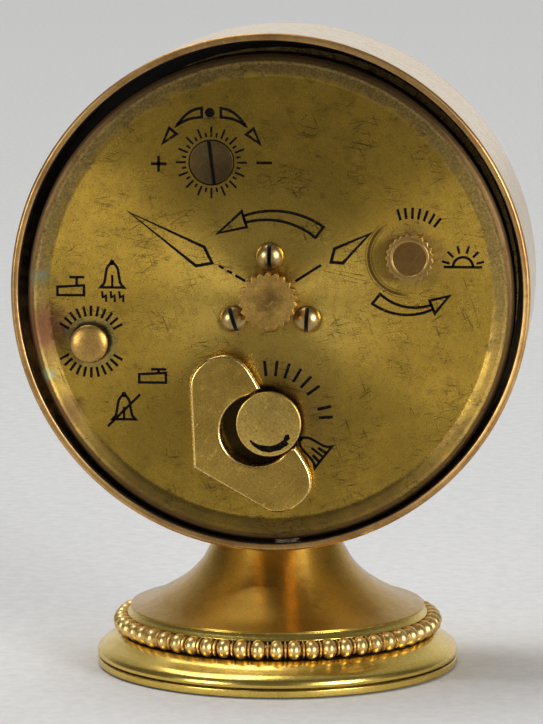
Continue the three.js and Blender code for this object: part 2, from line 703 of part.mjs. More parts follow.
function alarmHand() {
  return piece('alarm_hand', hand(9.0, 1.1, 2.8, 1.7, ALARM_HAND_LAYER, 215), looks.copperBrass);
}

// ---------------------------------------------------------------- going train

// An open spring barrel: a toothed floor and a drum wall, free on its arbor.
function springBarrel(spec, wallR, top) {
  const floor = plate(wheelOutline(spec), BARREL_LAYER);
  const drum = bar(wallR, [BARREL_LAYER[0] + 0.4, top], CENTRE, 18);
  const hollow = bar(wallR - 0.5, [BARREL_LAYER[1] - 0.2, top + 1], CENTRE, 18);
  const bore = bar(BARREL_ARBOR_R + RUNNING, [-5, 5], CENTRE, 8);
  return cut(fuse(floor, drum), hollow, bore);
}

function goingBarrel() {
  return piece('going_barrel', springBarrel(barrelGear, 9.0, 3.6), looks.movementBrass, barrelGear.at);
}

function mainspring() {
  const band = spiral(3.2, 8.0, 4, 0.35, [-1.7, 3.3]);
  return piece('mainspring', band, looks.blueSteel, barrelGear.at);
}

// A barrel arbor: the spring's hub inside the barrel and a square that carries the ratchet.
function springArbor(hubR, top) {
  const shaft = bar(BARREL_ARBOR_R, [PIVOTS[0], RATCHET_LAYER[1] + 0.1], CENTRE, 10);
  return fuse(shaft, bar(hubR, [-1.6, top], CENTRE, 12));
}

function barrelArbor() {
  return piece('barrel_arbor', springArbor(2.4, 3.3), looks.steel, barrelGear.at);
}

function ratchet(spec) {
  return plate(wheelOutline(spec), RATCHET_LAYER, [circlePath(BARREL_ARBOR_R + RUNNING, CENTRE, 8)]);
}

function goingRatchetWheel() {
  return piece('going_ratchet', ratchet(goingRatchet), looks.steel, goingRatchet.at);
}

// The centre wheel turns on the centre arbor, which it drives by friction.
function centreWheel() {
  const disc = plate(wheelOutline(centreGear), CENTRE_WHEEL_LAYER, windows(3, 1.5, 4.2));
  const pinion = plate(pinionOutline(centrePinion), widened(BARREL_LAYER));
  const pipe = bar(0.95, [BETWEEN_PLATES[0], 5.7], CENTRE, 12);
  const bore = bar(0.6, [-5, 7], CENTRE, 8);
  return piece('centre_wheel', cut(fuse(disc, pinion, pipe), bore), looks.movementBrass);
}

// A wheel, a pinion and their arbor, made as one turned and cut piece.
function wheelWithPinion(wheel, wheelLayer, pinion, pinionLayer) {
  return fuse(
    plate(wheelOutline(wheel), wheelLayer),
    plate(pinionOutline(pinion), pinionLayer),
    bar(PIVOT_R, PIVOTS, CENTRE, 8),
  );
}

function thirdWheel() {
  const body = wheelWithPinion(thirdGear, THIRD_WHEEL_LAYER, thirdPinion, widened(CENTRE_WHEEL_LAYER));
  return piece('third_wheel', body, looks.movementBrass, THIRD_AT);
}

function fourthWheel() {
  const body = wheelWithPinion(fourthGear, FOURTH_WHEEL_LAYER, fourthPinion, widened(THIRD_WHEEL_LAYER));
  return piece('fourth_wheel', body, looks.movementBrass, FOURTH_AT);
}

// A disc with raked teeth, for the two escape wheels.
function rakedTeeth(teeth, tipR, rootR, layer) {
  const outline = [];
  for (let i = 0; i < teeth; i += 1) {
    outline.push(polar(rootR, (TURN * i) / teeth));
    outline.push(polar(tipR, (TURN * (i + 0.25)) / teeth));
    outline.push(polar(rootR, (TURN * (i + 0.45)) / teeth));
  }
  return plate(outline, layer);
}

function escapeWheel() {
  const body = fuse(
    rakedTeeth(15, 3.6, 2.8, ESCAPE_WHEEL_LAYER),
    plate(pinionOutline(escapePinion), widened(FOURTH_WHEEL_LAYER)),
    bar(PIVOT_R, PIVOTS, CENTRE, 8),
  );
  return piece('escape_wheel', body, looks.steel, ESCAPE_AT);
}

// The lever: an arm to each pallet pin, beside the escape wheel, and a fork towards the balance.
function palletLever() {
  const toEscape = bearing(LEVER_AT, ESCAPE_AT);
  const toBalance = bearing(LEVER_AT, BALANCE_AT);
  const strip = (angle, length, half) => {
    const [ux, uy] = polar(1, angle);
    return plate([
      [-uy * half, ux * half], [uy * half, -ux * half],
      [ux * length + uy * half, uy * length - ux * half],
      [ux * length - uy * half, uy * length + ux * half],
    ], LEVER_LAYER);
  };
  const spread = radians(62);
  const reach = 3.9;
  const pins = [toEscape - spread, toEscape + spread].map((angle) => (
    bar(0.2, [-1.3, LEVER_LAYER[0] + 0.1], polar(reach, angle), 6)
  ));
  const body = fuse(
    bar(1.0, LEVER_LAYER, CENTRE, 10),
    strip(toEscape - spread, reach + 0.3, 0.4),
    strip(toEscape + spread, reach + 0.3, 0.4),
    strip(toBalance, 2.7, 0.35),
    ...pins,
  );
  const bore = bar(0.45 + RUNNING, [-2, 1], CENTRE, 8);
  return piece('pallet_lever', cut(body, bore), looks.steel, LEVER_AT);
}

function balanceWheel() {
  const arms = [0, 1, 2].map((i) => circlePath(1.35, polar(2.9, (TURN * (i + 0.5)) / 3), 8));
  const body = fuse(
    plate(circleOutline(5.6, 24), BALANCE_LAYER, arms),
    bar(0.75, [-0.4, 0.3], CENTRE, 10),
    bar(PIVOT_R, [PIVOTS[0], COCK_LAYER[1] - 0.1], CENTRE, 8),
  );
  return piece('balance_wheel', body, looks.copperBrass, BALANCE_AT);
}

function hairspring() {
  return piece('hairspring', spiral(0.9, 3.0, 3, 0.14, HAIRSPRING_LAYER), looks.blueSteel, BALANCE_AT);
}

// ---------------------------------------------------------------- regulator

function regulatorScrew() {
  const head = bar(2.53, [9.15, COVER_BACK], CENTRE, 20);
  const slot = new THREE.BoxGeometry(6, 0.47, 0.6).rotateZ(radians(173)).translate(0, 0, COVER_BACK);
  const body = fuse(
    cut(head, slot),
    bar(ARBOR_R, [REGULATOR_LAYER[0] - 0.05, 9.3], CENTRE, 8),
    plate(pinionOutline(regulatorPinion), [REGULATOR_LAYER[0] - 0.05, REGULATOR_LAYER[1] + 0.05]),
  );
  return piece('regulator_screw', body, looks.steel, REGULATOR_AT);
}

// A toothed sector round the balance's axis, with a curb pin beside the hairspring.
function regulatorLever() {
  const toScrew = bearing(BALANCE_AT, REGULATOR_AT);
  const pitch = TURN / regulatorSector.teeth;
  const nearest = Math.round((toScrew - regulatorSector.phase) / pitch);
  const teeth = wheelOutline(regulatorSector, nearest - 4, 9);
  const hub = [];
  for (let i = 0; i <= 8; i += 1) {
    hub.push(polar(1.6, toScrew + radians(50) + (radians(260) * i) / 8));
  }
  const sector = plate([...teeth, ...hub], REGULATOR_LAYER, [circlePath(0.7, CENTRE, 10)]);
  const curbPin = bar(0.2, [3.6, REGULATOR_LAYER[1]], polar(3.6, toScrew), 6);
  return piece('regulator_lever', fuse(sector, curbPin), looks.steel, BALANCE_AT);
}

// ---------------------------------------------------------------- winding

function windingArbor() {
  const profile = [
    [0, REAR_PLATE[0] + 0.2], [WINDER_R, REAR_PLATE[0] + 0.2], [WINDER_R, 10.2], [2.6, 10.4],
    [2.6, 12.0], [3.75, 12.1], [3.75, 12.8], [0, 12.8],
  ];
  const body = cut(
    fuse(turned(profile, 28), plate(pinionOutline(winderPinion), RATCHET_LAYER)),
    keyPinBar(KEY_PIN_R + REST, 8),
  );
  return piece('winding_arbor', body, looks.polishedBrass, WINDER_AT);
}

// A round bar along the key's hinge axis.
function keyPinBar(radius, length) {
  const geometry = new THREE.CylinderGeometry(radius, radius, length, 10);
  return tidy(geometry.translate(0, 0, KEY_PIN_Z).rotateZ(radians(KEY_AXIS_DEG)));
}

function keyHingePin() {
  return piece('key_hinge_pin', keyPinBar(KEY_PIN_R, 10.6), looks.steel, WINDER_AT);
}

// The folding key: a heart-shaped wing with a round opening for the post. In its own frame the
// hinge lies along y, and the point of the heart along -x.
function keyWing() {
  const half = new THREE.Path();
  half.moveTo(1.15, 3.75);
  half.lineTo(1.15, 7.3);
  half.bezierCurveTo(1.15, 8.9, -0.5, 9.9, -2.4, 10.0);
  half.bezierCurveTo(-4.1, 10.1, -5.1, 9.4, -5.75, 8.3);
  half.lineTo(-10.35, 0);
  const upper = half.getPoints(12);
  const lower = upper.slice(0, -1).reverse().map(({ x, y }) => new THREE.Vector2(x, -y));
  const opening = [];
  for (let degrees = -64; degrees >= -296; degrees -= 23.2) {
    const [x, y] = polar(4.15, radians(degrees));
    opening.push([x - 1.8, y]);
  }
  const outline = [...upper, ...lower].map(({ x, y }) => [x, y]);
  const wing = plate([...outline, ...opening], [-KEY_THICKNESS / 2, KEY_THICKNESS / 2]);
  wing.translate(0, 0, KEY_PIN_Z).rotateZ(radians(KEY_AXIS_DEG));
  return piece('key_wing', cut(wing, keyPinBar(KEY_PIN_R + REST, 11)), looks.polishedBrass, WINDER_AT);
}

// ---------------------------------------------------------------- clicks

// A pawl on a stud, its nose held just off the ratchet.
function click(name, at, target, tipR) {
  const line = bearing(at, target);
  const distance = Math.hypot(target[0] - at[0], target[1] - at[1]);
  const nose = distance - tipR - 0.3;
  const [ux, uy] = polar(1, line);
  const outline = [];
  for (let i = 0; i <= 6; i += 1) outline.push(polar(1.1, line + Math.PI / 2 + (Math.PI * i) / 6));
  outline.push([ux * nose - uy * -0.3, uy * nose + ux * -0.3]);
  outline.push([ux * nose - uy * 0.3, uy * nose + ux * 0.3]);
  const bore = circlePath(0.45 + RUNNING, CENTRE, 8);
  const blank = plate(outline, [RATCHET_LAYER[0] + 0.1, RATCHET_LAYER[1] - 0.1], [bore]);
  return piece(name, blank, looks.steel, at);
}

// ---------------------------------------------------------------- alarm train

function alarmRatchetWheel() {
  return piece('alarm_ratchet', ratchet(alarmRatchet), looks.steel, ALARM_BARREL_AT);
}

function alarmBarrel() {
  const body = springBarrel(alarmBarrelGear, 6.0, 0.3);
  return piece('alarm_barrel', body, looks.movementBrass, ALARM_BARREL_AT);
}

function alarmSpring() {
  const band = spiral(2.7, 5.05, 3, 0.3, [-1.7, 0.1]);
  return piece('alarm_spring', band, looks.blueSteel, ALARM_BARREL_AT);
}

function alarmBarrelArbor() {
  return piece('alarm_barrel_arbor', springArbor(2.0, 0.1), looks.steel, ALARM_BARREL_AT);
}

function alarmEscapeWheel() {
  const body = fuse(
    rakedTeeth(13, 3.4, 2.4, HAMMER_LAYER),
    plate(pinionOutline(alarmEscapePinion), widened(BARREL_LAYER)),
    bar(PIVOT_R, PIVOTS, CENTRE, 8),
  );
  return piece('alarm_escape_wheel', body, looks.movementBrass, ALARM_ESCAPE_AT);
}

// The hammer: an arbor, an arm and a head that swings at the sounding post.
function alarmHammer() {
  const head = [HAMMER_HEAD_AT[0] - HAMMER_AT[0], HAMMER_HEAD_AT[1] - HAMMER_AT[1]];
  const angle = Math.atan2(head[1], head[0]);
  const length = Math.hypot(...head);
  const [ux, uy] = polar(1, angle);
  const half = 0.5;
  const arm = plate([
    [-uy * half, ux * half], [uy * half, -ux * half],
    [ux * length + uy * half, uy * length - ux * half],
    [ux * length - uy * half, uy * length + ux * half],
  ], HAMMER_LAYER);
  const body = fuse(
    bar(PIVOT_R, PIVOTS, CENTRE, 8),
    bar(1.0, [0.4, 1.4], CENTRE, 10),
    arm,
    bar(1.4, [0.3, 3.3], head, 12),
  );
  return piece('alarm_hammer', body, looks.steel, HAMMER_AT);
}

// The alarm button: a domed cap on a stem that stops the hammer's arm when it is pushed in.
function stopButton() {
  const profile = [
    [0, 3.2], [0.8, 3.2], [0.8, 11.5], [2.2, 11.5], [1.8, 11.95], [0, 12.2],
  ];
  return piece('stop_button', turned(profile, 24), looks.copperBrass, BUTTON_AT);
}

// ---------------------------------------------------------------- assembly

const foot = new THREE.Group();
foot.add(basePad(), baseRing(), beadRing(), pedestalFlare(), pedestalBolt(), pedestalNut());

// Inside the drum, z runs towards the back and x to the right as seen from behind.
function drumGroup(centreZ) {
  const group = new THREE.Group();
  group.position.set(0, 0, centreZ);
  group.rotation.set(-Math.PI / 2, 0, Math.PI);
  return group;
}

const drum = drumGroup(DRUM_CENTRE_Z);
drum.add(caseDrum(), frontBezel(), frontGlass());

const movement = drumGroup(DRUM_CENTRE_Z - MOVEMENT_DROP);
movement.add(
  dial(), backCover(), ...backScrews(), coverBridge(), frontPlate(), rearPlate(), ...pillars(),
  balanceCock(), soundingPost(), buttonGuide(),
  timeSetKnob(), centreArbor(), cannonPinion(), minuteHand(), minuteWheel(), hourWheel(), hourHand(),
  alarmSetKnob(), alarmSetArbor(), alarmWheel(), alarmHand(),
  goingBarrel(), mainspring(), barrelArbor(), goingRatchetWheel(), centreWheel(), thirdWheel(),
  fourthWheel(), escapeWheel(), palletLever(), balanceWheel(), hairspring(),
  regulatorScrew(), regulatorLever(),
  windingArbor(), keyHingePin(), keyWing(),
  click('going_click', GOING_CLICK_AT, barrelGear.at, tipRadius(goingRatchet)),
  click('alarm_click', ALARM_CLICK_AT, ALARM_BARREL_AT, tipRadius(alarmRatchet)),
  alarmRatchetWheel(), alarmBarrel(), alarmSpring(), alarmBarrelArbor(), alarmEscapeWheel(),
  alarmHammer(), stopButton(),
);

const clock = new THREE.Group();
clock.add(foot, drum, movement);

export default clock;
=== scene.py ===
"""Looks of a small pedestal alarm clock, seen mostly from behind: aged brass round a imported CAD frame."""

import json
import math
import random

import bmesh
import bpy
from mathutils import Matrix, Vector


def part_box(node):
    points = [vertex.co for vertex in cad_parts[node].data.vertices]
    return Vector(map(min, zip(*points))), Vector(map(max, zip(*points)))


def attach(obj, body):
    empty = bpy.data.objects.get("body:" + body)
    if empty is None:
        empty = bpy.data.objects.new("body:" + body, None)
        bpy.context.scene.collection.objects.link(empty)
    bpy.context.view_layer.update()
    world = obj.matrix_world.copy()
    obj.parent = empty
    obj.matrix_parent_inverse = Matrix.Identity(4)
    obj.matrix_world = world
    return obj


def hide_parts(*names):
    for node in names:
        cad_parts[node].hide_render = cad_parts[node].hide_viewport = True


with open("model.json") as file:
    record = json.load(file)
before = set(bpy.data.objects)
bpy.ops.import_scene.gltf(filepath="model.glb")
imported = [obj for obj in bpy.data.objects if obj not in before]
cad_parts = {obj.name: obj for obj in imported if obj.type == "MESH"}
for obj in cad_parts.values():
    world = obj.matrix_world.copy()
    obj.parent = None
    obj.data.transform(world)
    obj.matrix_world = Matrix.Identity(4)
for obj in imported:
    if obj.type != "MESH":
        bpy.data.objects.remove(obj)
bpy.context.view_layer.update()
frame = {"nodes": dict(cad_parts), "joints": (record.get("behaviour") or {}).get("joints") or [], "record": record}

MM = 0.001
TURN = 2 * math.pi
JOINTS = {joint["name"]: joint for joint in frame["joints"]}


# ---------------------------------------------------------------- places, taken from the frame

def drum_place(centre):
    """A local frame inside the drum: x to the right seen from behind, y up, z towards the back."""
    axes = Matrix(((-1, 0, 0, 0), (0, 0, 1, 0), (0, 1, 0, 0), (0, 0, 0, 1)))
    return Matrix.Translation(centre) @ axes


def local_box(node, place):
    """A CAD node's box in millimetres in a local frame, as (low, high)."""
    low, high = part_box(node)
    into = place.inverted()
    corners = [into @ low / MM, into @ high / MM]
    return Vector(map(min, *corners)), Vector(map(max, *corners))


def joint_place(name, place):
    """Where a joint's axis is, as (x, y) in millimetres in a local frame."""
    at = place.inverted() @ Vector(JOINTS[name]["pos_m"]) / MM
    return at.x, at.y


def node_centre(node, place):
    low, high = local_box(node, place)
    return (low.x + high.x) / 2, (low.y + high.y) / 2


case_low, case_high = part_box("case_drum")
DRUM = drum_place(Vector((0, 0, (case_low.z + case_high.z) / 2)))
MOVEMENT = drum_place(Vector(JOINTS["hand_setting_turn"]["pos_m"]))
FLOOR = Matrix.Identity(4)
KNOB_AT = (0.0, 0.0)
ALARM_AT = joint_place("alarm_setting_turn", MOVEMENT)
WINDER_AT = joint_place("winder_turn", MOVEMENT)
REGULATOR_AT = joint_place("regulator_adjuster_turn", MOVEMENT)
BUTTON_AT = node_centre("stop_button", MOVEMENT)
SCREWS_AT = [node_centre(f"back_screw_{i}", MOVEMENT) for i in (1, 2, 3)]
KEY_TURN = math.radians(31.5)
COVER_FACE = 9.8        # the flat face of the back cover, above the movement's middle
COVER_FLAT_R = 25.65    # where that flat ends


# ---------------------------------------------------------------- mesh helpers

def polar(radius, angle):
    return radius * math.cos(angle), radius * math.sin(angle)


def smooth_through(points, steps=8):
    """A smooth open curve through points, as a list of points."""
    spread = [points[0], *points, points[-1]]
    out = []
    for a, b, c, d in zip(spread, spread[1:], spread[2:], spread[3:]):
        for i in range(steps):
            t = i / steps
            out.append(tuple(
                0.5 * (2 * q + (r - p) * t + (2 * p - 5 * q + 4 * r - s) * t * t
                       + (3 * q - p - 3 * r + s) * t ** 3)
                for p, q, r, s in zip(a, b, c, d)
            ))
    return [*out, tuple(points[-1])]


def rounded(corners, closed=False, steps=4):
    """A polyline with its corners rounded. Each corner is (x, y, radius)."""
    out = []
    count = len(corners)
    for i, (x, y, radius) in enumerate(corners):
        inside = closed or 0 < i < count - 1
        if not radius or not inside:
            out.append((x, y))
            continue
        here = Vector((x, y))
        to_last = (Vector(corners[i - 1][:2]) - here)
        to_next = (Vector(corners[(i + 1) % count][:2]) - here)
        reach = min(to_last.length, to_next.length) * 0.499
        half = to_last.angle(to_next) / 2
        if half > math.radians(89):
            out.append((x, y))
            continue
        tangent = min(radius / math.tan(half), reach)
        start = here + to_last.normalized() * tangent
        end = here + to_next.normalized() * tangent
        for k in range(steps + 1):
            t = k / steps
            point = start * (1 - t) ** 2 + here * 2 * t * (1 - t) + end * t ** 2
            out.append((point.x, point.y))
    return out


def in_scene(name, data):
    """A new object, linked into the scene at its origin."""
    made = bpy.data.objects.new(name, data)
    bpy.context.scene.collection.objects.link(made)
    return made


def mesh_of(name, verts, faces):
    """A mesh whose vertices are given in millimetres."""
    mesh = bpy.data.meshes.new(name)
    mesh.from_pydata([(x * MM, y * MM, z * MM) for x, y, z in verts], [], faces)
    return mesh


def final_mesh(piece):
    """The object's shape as one mesh, with its modifiers or curve settings applied."""
    bpy.context.view_layer.update()
    depsgraph = bpy.context.evaluated_depsgraph_get()
    return bpy.data.meshes.new_from_object(piece.evaluated_get(depsgraph))


def mesh_piece(name, mesh, place, materials, pick=None):
    """A cleaned, smooth piece; pick chooses each face's material from its centre."""
    work = bmesh.new()
    work.from_mesh(mesh)
    bmesh.ops.remove_doubles(work, verts=work.verts, dist=1e-7)
    bmesh.ops.dissolve_degenerate(work, edges=work.edges, dist=1e-8)
    bmesh.ops.recalc_face_normals(work, faces=work.faces)
    work.to_mesh(mesh)
    work.free()
    piece = in_scene(name, mesh)
    piece.matrix_world = place
    for material in materials if isinstance(materials, list) else [materials]:
        mesh.materials.append(material)
    for polygon in mesh.polygons:
        polygon.use_smooth = True
        if pick:
            polygon.material_index = pick(polygon.center / MM)
    return piece


def new_piece(name, verts, faces, place, materials, pick=None):
    """A piece from vertices in millimetres in its local frame, and faces."""
    return mesh_piece(name, mesh_of(name, verts, faces), place, materials, pick)


def turned_piece(name, profile, segments, place, materials, closed=False, pick=None):
    """A lathe-turned piece: profile is (radius, z) from axis to axis, or closed on itself."""
    return new_piece(name, *turned(profile, segments, closed), place, materials, pick)


def settle(piece, body, *nodes, slot):
    """The piece rides on a body and stands for CAD nodes. Sharp edges stay sharp, flat faces flat."""
    piece.data.set_sharp_from_angle(angle=math.radians(38))
    weighted = piece.modifiers.new("weighted", "WEIGHTED_NORMAL")
    weighted.keep_sharp = True
    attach(piece, body)
    if nodes:
        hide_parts(*nodes)


def turned(profile, segments, closed=False, at=(0, 0)):
    """Vertices and faces of a profile of (radius, z) turned round z."""
    verts, faces, rings = [], [], []
    for radius, z in profile:
        if radius < 1e-6:
            rings.append([len(verts)] * segments)
            verts.append((at[0], at[1], z))
            continue
        rings.append(list(range(len(verts), len(verts) + segments)))
        for i in range(segments):
            x, y = polar(radius, TURN * i / segments)
            verts.append((at[0] + x, at[1] + y, z))
    following = rings[1:] + rings[:1] if closed else rings[1:]
    for low, high in zip(rings, following):
        for i in range(segments):
            k = (i + 1) % segments
            corners = list(dict.fromkeys([low[i], low[k], high[k], high[i]]))
            if len(corners) > 2:
                faces.append(corners)
    return verts, faces


def slab(outline, low, high, bevel=0.0, bevel_steps=3):
    """A flat piece cut from an outline, with bevelled edges, as a mesh."""
    curve = bpy.data.curves.new("outline", "CURVE")
    curve.dimensions = "2D"
    curve.fill_mode = "BOTH"
    spline = curve.splines.new("POLY")
    spline.points.add(len(outline) - 1)
    for point, (x, y) in zip(spline.points, outline):
        point.co = (x * MM, y * MM, 0, 1)
    spline.use_cyclic_u = True
    curve.extrude = ((high - low) / 2 - bevel) * MM
    curve.bevel_depth = bevel * MM
    curve.offset = -bevel * MM
    curve.bevel_resolution = bevel_steps
    holder = in_scene("outline", curve)
    mesh = final_mesh(holder)
    bpy.data.objects.remove(holder)
    bpy.data.curves.remove(curve)
    mesh.transform(Matrix.Translation((0, 0, (low + high) / 2 * MM)))
    mesh.materials.clear()
    return mesh


def boxed(size, at, turn=0.0):
    """A box's vertices and faces, centred at a point and turned about z."""
    half = Vector(size) / 2
    spin = Matrix.Rotation(turn, 3, "Z")
    verts = [
        tuple(spin @ Vector((x * half.x, y * half.y, z * half.z)) + Vector(at))
        for x in (-1, 1) for y in (-1, 1) for z in (-1, 1)
    ]
    faces = [(0, 1, 3, 2), (4, 6, 7, 5), (0, 4, 5, 1), (2, 3, 7, 6), (0, 2, 6, 4), (1, 5, 7, 3)]
    return verts, faces


def cut_away(piece, verts, faces):
    """Cuts a closed shape out of the piece; the cut faces take the piece's last material."""
    mesh = mesh_of("cutter", verts, faces)
    work = bmesh.new()
    work.from_mesh(mesh)
    bmesh.ops.recalc_face_normals(work, faces=work.faces)
    for face in work.faces:
        face.material_index = len(piece.data.materials) - 1
    work.to_mesh(mesh)
    work.free()
    cutter = in_scene("cutter", mesh)
    cutter.matrix_world = piece.matrix_world
    cut = piece.modifiers.new("cut", "BOOLEAN")
    cut.operation = "DIFFERENCE"
    cut.solver = "EXACT"
    cut.object = cutter
    result = final_mesh(piece)
    piece.modifiers.clear()
    piece.data = result
    for polygon in result.polygons:
        polygon.use_smooth = True
    bpy.data.objects.remove(cutter)


def arc(radius, start, end, at=(0, 0), steps=18):
    """Points on an arc, its angles in degrees."""
    turns = [math.radians(start + (end - start) * i / steps) for i in range(steps + 1)]
    return [(at[0] + x, at[1] + y) for x, y in (polar(radius, turn) for turn in turns)]


def circle(radius, at=(0, 0), segments=48):
    return arc(radius, 0, 360, at, segments)[:-1]


# ---------------------------------------------------------------- material helpers

class Nodes:
    """A small builder for node trees."""

    def __init__(self, owner):
        owner.use_nodes = True
        self.tree = owner.node_tree
        self.tree.nodes.clear()

    def put(self, socket, value):
        if isinstance(value, bpy.types.NodeSocket):
            self.tree.links.new(value, socket)
        else:
            socket.default_value = value

    def add(self, kind, settings=None, **inputs):
        node = self.tree.nodes.new(kind)
        for key, value in (settings or {}).items():
            setattr(node, key, value)
        for key, value in inputs.items():
            self.put(node.inputs[key.replace("_", " ")], value)
        return node

    def math(self, operation, a, b=0.0, clamp=False):
        node = self.add("ShaderNodeMath", {"operation": operation, "use_clamp": clamp})
        self.put(node.inputs[0], a)
        self.put(node.inputs[1], b)
        return node.outputs[0]

    def plus(self, a, b, clamp=False):
        return self.math("ADD", a, b, clamp)

    def minus(self, a, b):
        return self.math("SUBTRACT", a, b)

    def times(self, a, b):
        return self.math("MULTIPLY", a, b)

    def ramp(self, value, low, high, out_low=0.0, out_high=1.0):
        """Maps low..high to out_low..out_high, smoothly and clamped."""
        node = self.add("ShaderNodeMapRange", {"interpolation_type": "SMOOTHSTEP"}, Value=value,
                        From_Min=low, From_Max=high, To_Min=out_low, To_Max=out_high)
        return node.outputs["Result"]

    def ray(self, kind):
        """1 for a ray of this kind, such as Camera, Glossy or Shadow."""
        return self.add("ShaderNodeLightPath").outputs[f"Is {kind} Ray"]


class Shader(Nodes):
    """Builds a material. Places are in millimetres in the piece's own frame."""

    def __init__(self, name):
        self.material = bpy.data.materials.new(name)
        super().__init__(self.material)
        self.surface = self.add("ShaderNodeBsdfPrincipled")
        self.output = self.add("ShaderNodeOutputMaterial", Surface=self.surface.outputs["BSDF"])
        coordinates = self.add("ShaderNodeTexCoord")
        self.place = self.vector("MULTIPLY", coordinates.outputs["Object"], (1000, 1000, 1000))

    def vector(self, operation, a, b=None):
        node = self.add("ShaderNodeVectorMath", {"operation": operation})
        self.put(node.inputs[0], a)
        if b is not None:
            self.put(node.inputs[1], b)
        scalar = operation in ("LENGTH", "DOT_PRODUCT", "DISTANCE")
        return node.outputs["Value" if scalar else "Vector"]

    def noise(self, scale, detail=3.0, rough=0.55, distortion=0.0, at=None):
        node = self.add(
            "ShaderNodeTexNoise", Vector=at if at is not None else self.place,
            Scale=scale, Detail=detail, Roughness=rough, Distortion=distortion,
        )
        return node.outputs["Fac"]

    def mix(self, share, a, b):
        node = self.add("ShaderNodeMix", {"data_type": "RGBA"})
        self.put(node.inputs[0], share)
        for socket, value in ((node.inputs[6], a), (node.inputs[7], b)):
            self.put(socket, value if isinstance(value, bpy.types.NodeSocket) else (*value, 1.0))
        return node.outputs[2]

    def hairlines(self, angle, stretch, scale, width, seed):
        """Thin, long scratches that run one way."""
        turn = self.add("ShaderNodeVectorRotate", {"rotation_type": "Z_AXIS"}, Vector=self.place,
                        Angle=angle)
        drawn = self.vector("MULTIPLY", turn.outputs["Vector"], (scale / stretch, scale, scale))
        drawn = self.vector("ADD", drawn, (seed, seed * 2.7, seed * 0.3))
        field = self.noise(1.0, detail=1.5, distortion=0.3, at=drawn)
        off = self.math("ABSOLUTE", self.minus(field, 0.5))
        return self.ramp(off, 0.0, width, 1.0, 0.0)

    def along(self, axis):
        """The place along X, Y or Z, in millimetres."""
        return self.add("ShaderNodeSeparateXYZ", Vector=self.place).outputs[axis]

    def radius(self):
        """Distance from the piece's z axis, in millimetres."""
        return self.vector("LENGTH", self.vector("MULTIPLY", self.place, (1, 1, 0)))

    def turned_lines(self, pitch=9.0, drift=1.3):
        """Fine rings round the z axis, as brushing on a lathe leaves them."""
        unit = self.vector("NORMALIZE", self.vector("MULTIPLY", self.place, (1, 1, 0)))
        steady = self.vector("MULTIPLY", unit, (drift, drift, 0))
        rings = self.add("ShaderNodeCombineXYZ", Z=self.times(self.radius(), pitch))
        return self.noise(1.0, detail=4.0, rough=0.7, at=self.vector("ADD", steady, rings.outputs[0]))

    def crevice(self, reach=0.6, samples=4):
        """1 in open places, less in hollows, within a reach in millimetres."""
        node = self.add("ShaderNodeAmbientOcclusion", {"samples": samples}, Distance=reach * MM)
        return node.outputs["AO"]

    def bump(self, height, strength, distance):
        node = self.add("ShaderNodeBump", Height=height, Strength=strength, Distance=distance * MM)
        return node.outputs["Normal"]

    def radial_tangent(self):
        tangent = self.add("ShaderNodeTangent", {"direction_type": "RADIAL", "axis": "Z"})
        return tangent.outputs[0]

    def finish(self, **inputs):
        for key, value in inputs.items():
            self.put(self.surface.inputs[key.replace("_", " ")], value)
        return self.material


def brighter(colour, factor):
    return tuple(min(1.0, channel * factor) for channel in colour)


def aged_metal(name, bright, dark, roughness=0.3, grime_and_shade=(0.07, 0.045, 0.02), anisotropic=0.0,
               lines=0.0, blotch=0.5, scratches=0.5, crevice=0.6, wear=0.25, middle_stain=0.0,
               grain=0.22, seed=0.0):
    """Brass with blotches, scratches, fine turning lines, and grime with painted shade in the hollows."""
    s = Shader(name)
    at = s.vector("ADD", s.place, (seed, seed * 1.7, seed * 0.6))
    broad = s.noise(0.16, detail=4, rough=0.6, at=at)
    middle = s.noise(0.9, detail=5, rough=0.65, distortion=0.4, at=at)
    fine = s.noise(14.0, detail=2, at=at)
    mottle = s.noise(4.5, detail=4, rough=0.75, at=at)
    blotches = s.plus(s.times(broad, 0.6), s.times(middle, 0.4))
    colour = s.mix(s.times(s.ramp(blotches, 0.38, 0.66), blotch), bright, dark)
    colour = s.mix(s.ramp(mottle, 0.44, 0.64, 0.0, grain), colour, grime_and_shade)
    colour = s.mix(s.ramp(mottle, 0.46, 0.34, 0.0, grain * 0.7), colour, brighter(bright, 1.5))
    if middle_stain:
        away = s.plus(s.radius(), s.times(middle, 2.2))
        colour = s.mix(s.ramp(away, 1.2, 1.2 + middle_stain, 0.8, 0.0), colour, grime_and_shade)
    scratch = s.math("MAXIMUM", s.hairlines(0.5, 26, 2.2, 0.010, 3.1 + seed),
                     s.hairlines(2.2, 30, 1.7, 0.008, 8.3 + seed))
    scratch = s.times(scratch, s.ramp(middle, 0.45, 0.6, 0.0, scratches))
    colour = s.mix(s.times(scratch, 0.5), colour, brighter(bright, 1.35))
    rough = s.plus(roughness, s.times(s.minus(middle, 0.5), wear))
    # Hollows found by ambient occlusion take the grime colour: real grime and painted shade together.
    if crevice:
        hollow = s.ramp(s.crevice(crevice), 0.25, 0.85, 1.0, 0.0)
        dirt_and_shade = s.times(hollow, s.ramp(middle, 0.25, 0.55, 0.75, 1.0))
        colour = s.mix(dirt_and_shade, colour, grime_and_shade)
        rough = s.plus(rough, s.times(hollow, 0.25), clamp=True)
    height = s.minus(s.times(fine, 0.25), s.times(scratch, 0.7))
    if lines:
        height = s.plus(height, s.times(s.turned_lines(), lines))
    brushed = {}
    if anisotropic:
        brushed = {"Anisotropic": anisotropic, "Anisotropic_Rotation": 0.25, "Tangent": s.radial_tangent()}
    return s.finish(Base_Color=colour, Metallic=1.0, Roughness=rough,
                    Normal=s.bump(height, strength=0.35, distance=0.02), **brushed)


# ---------------------------------------------------------------- materials

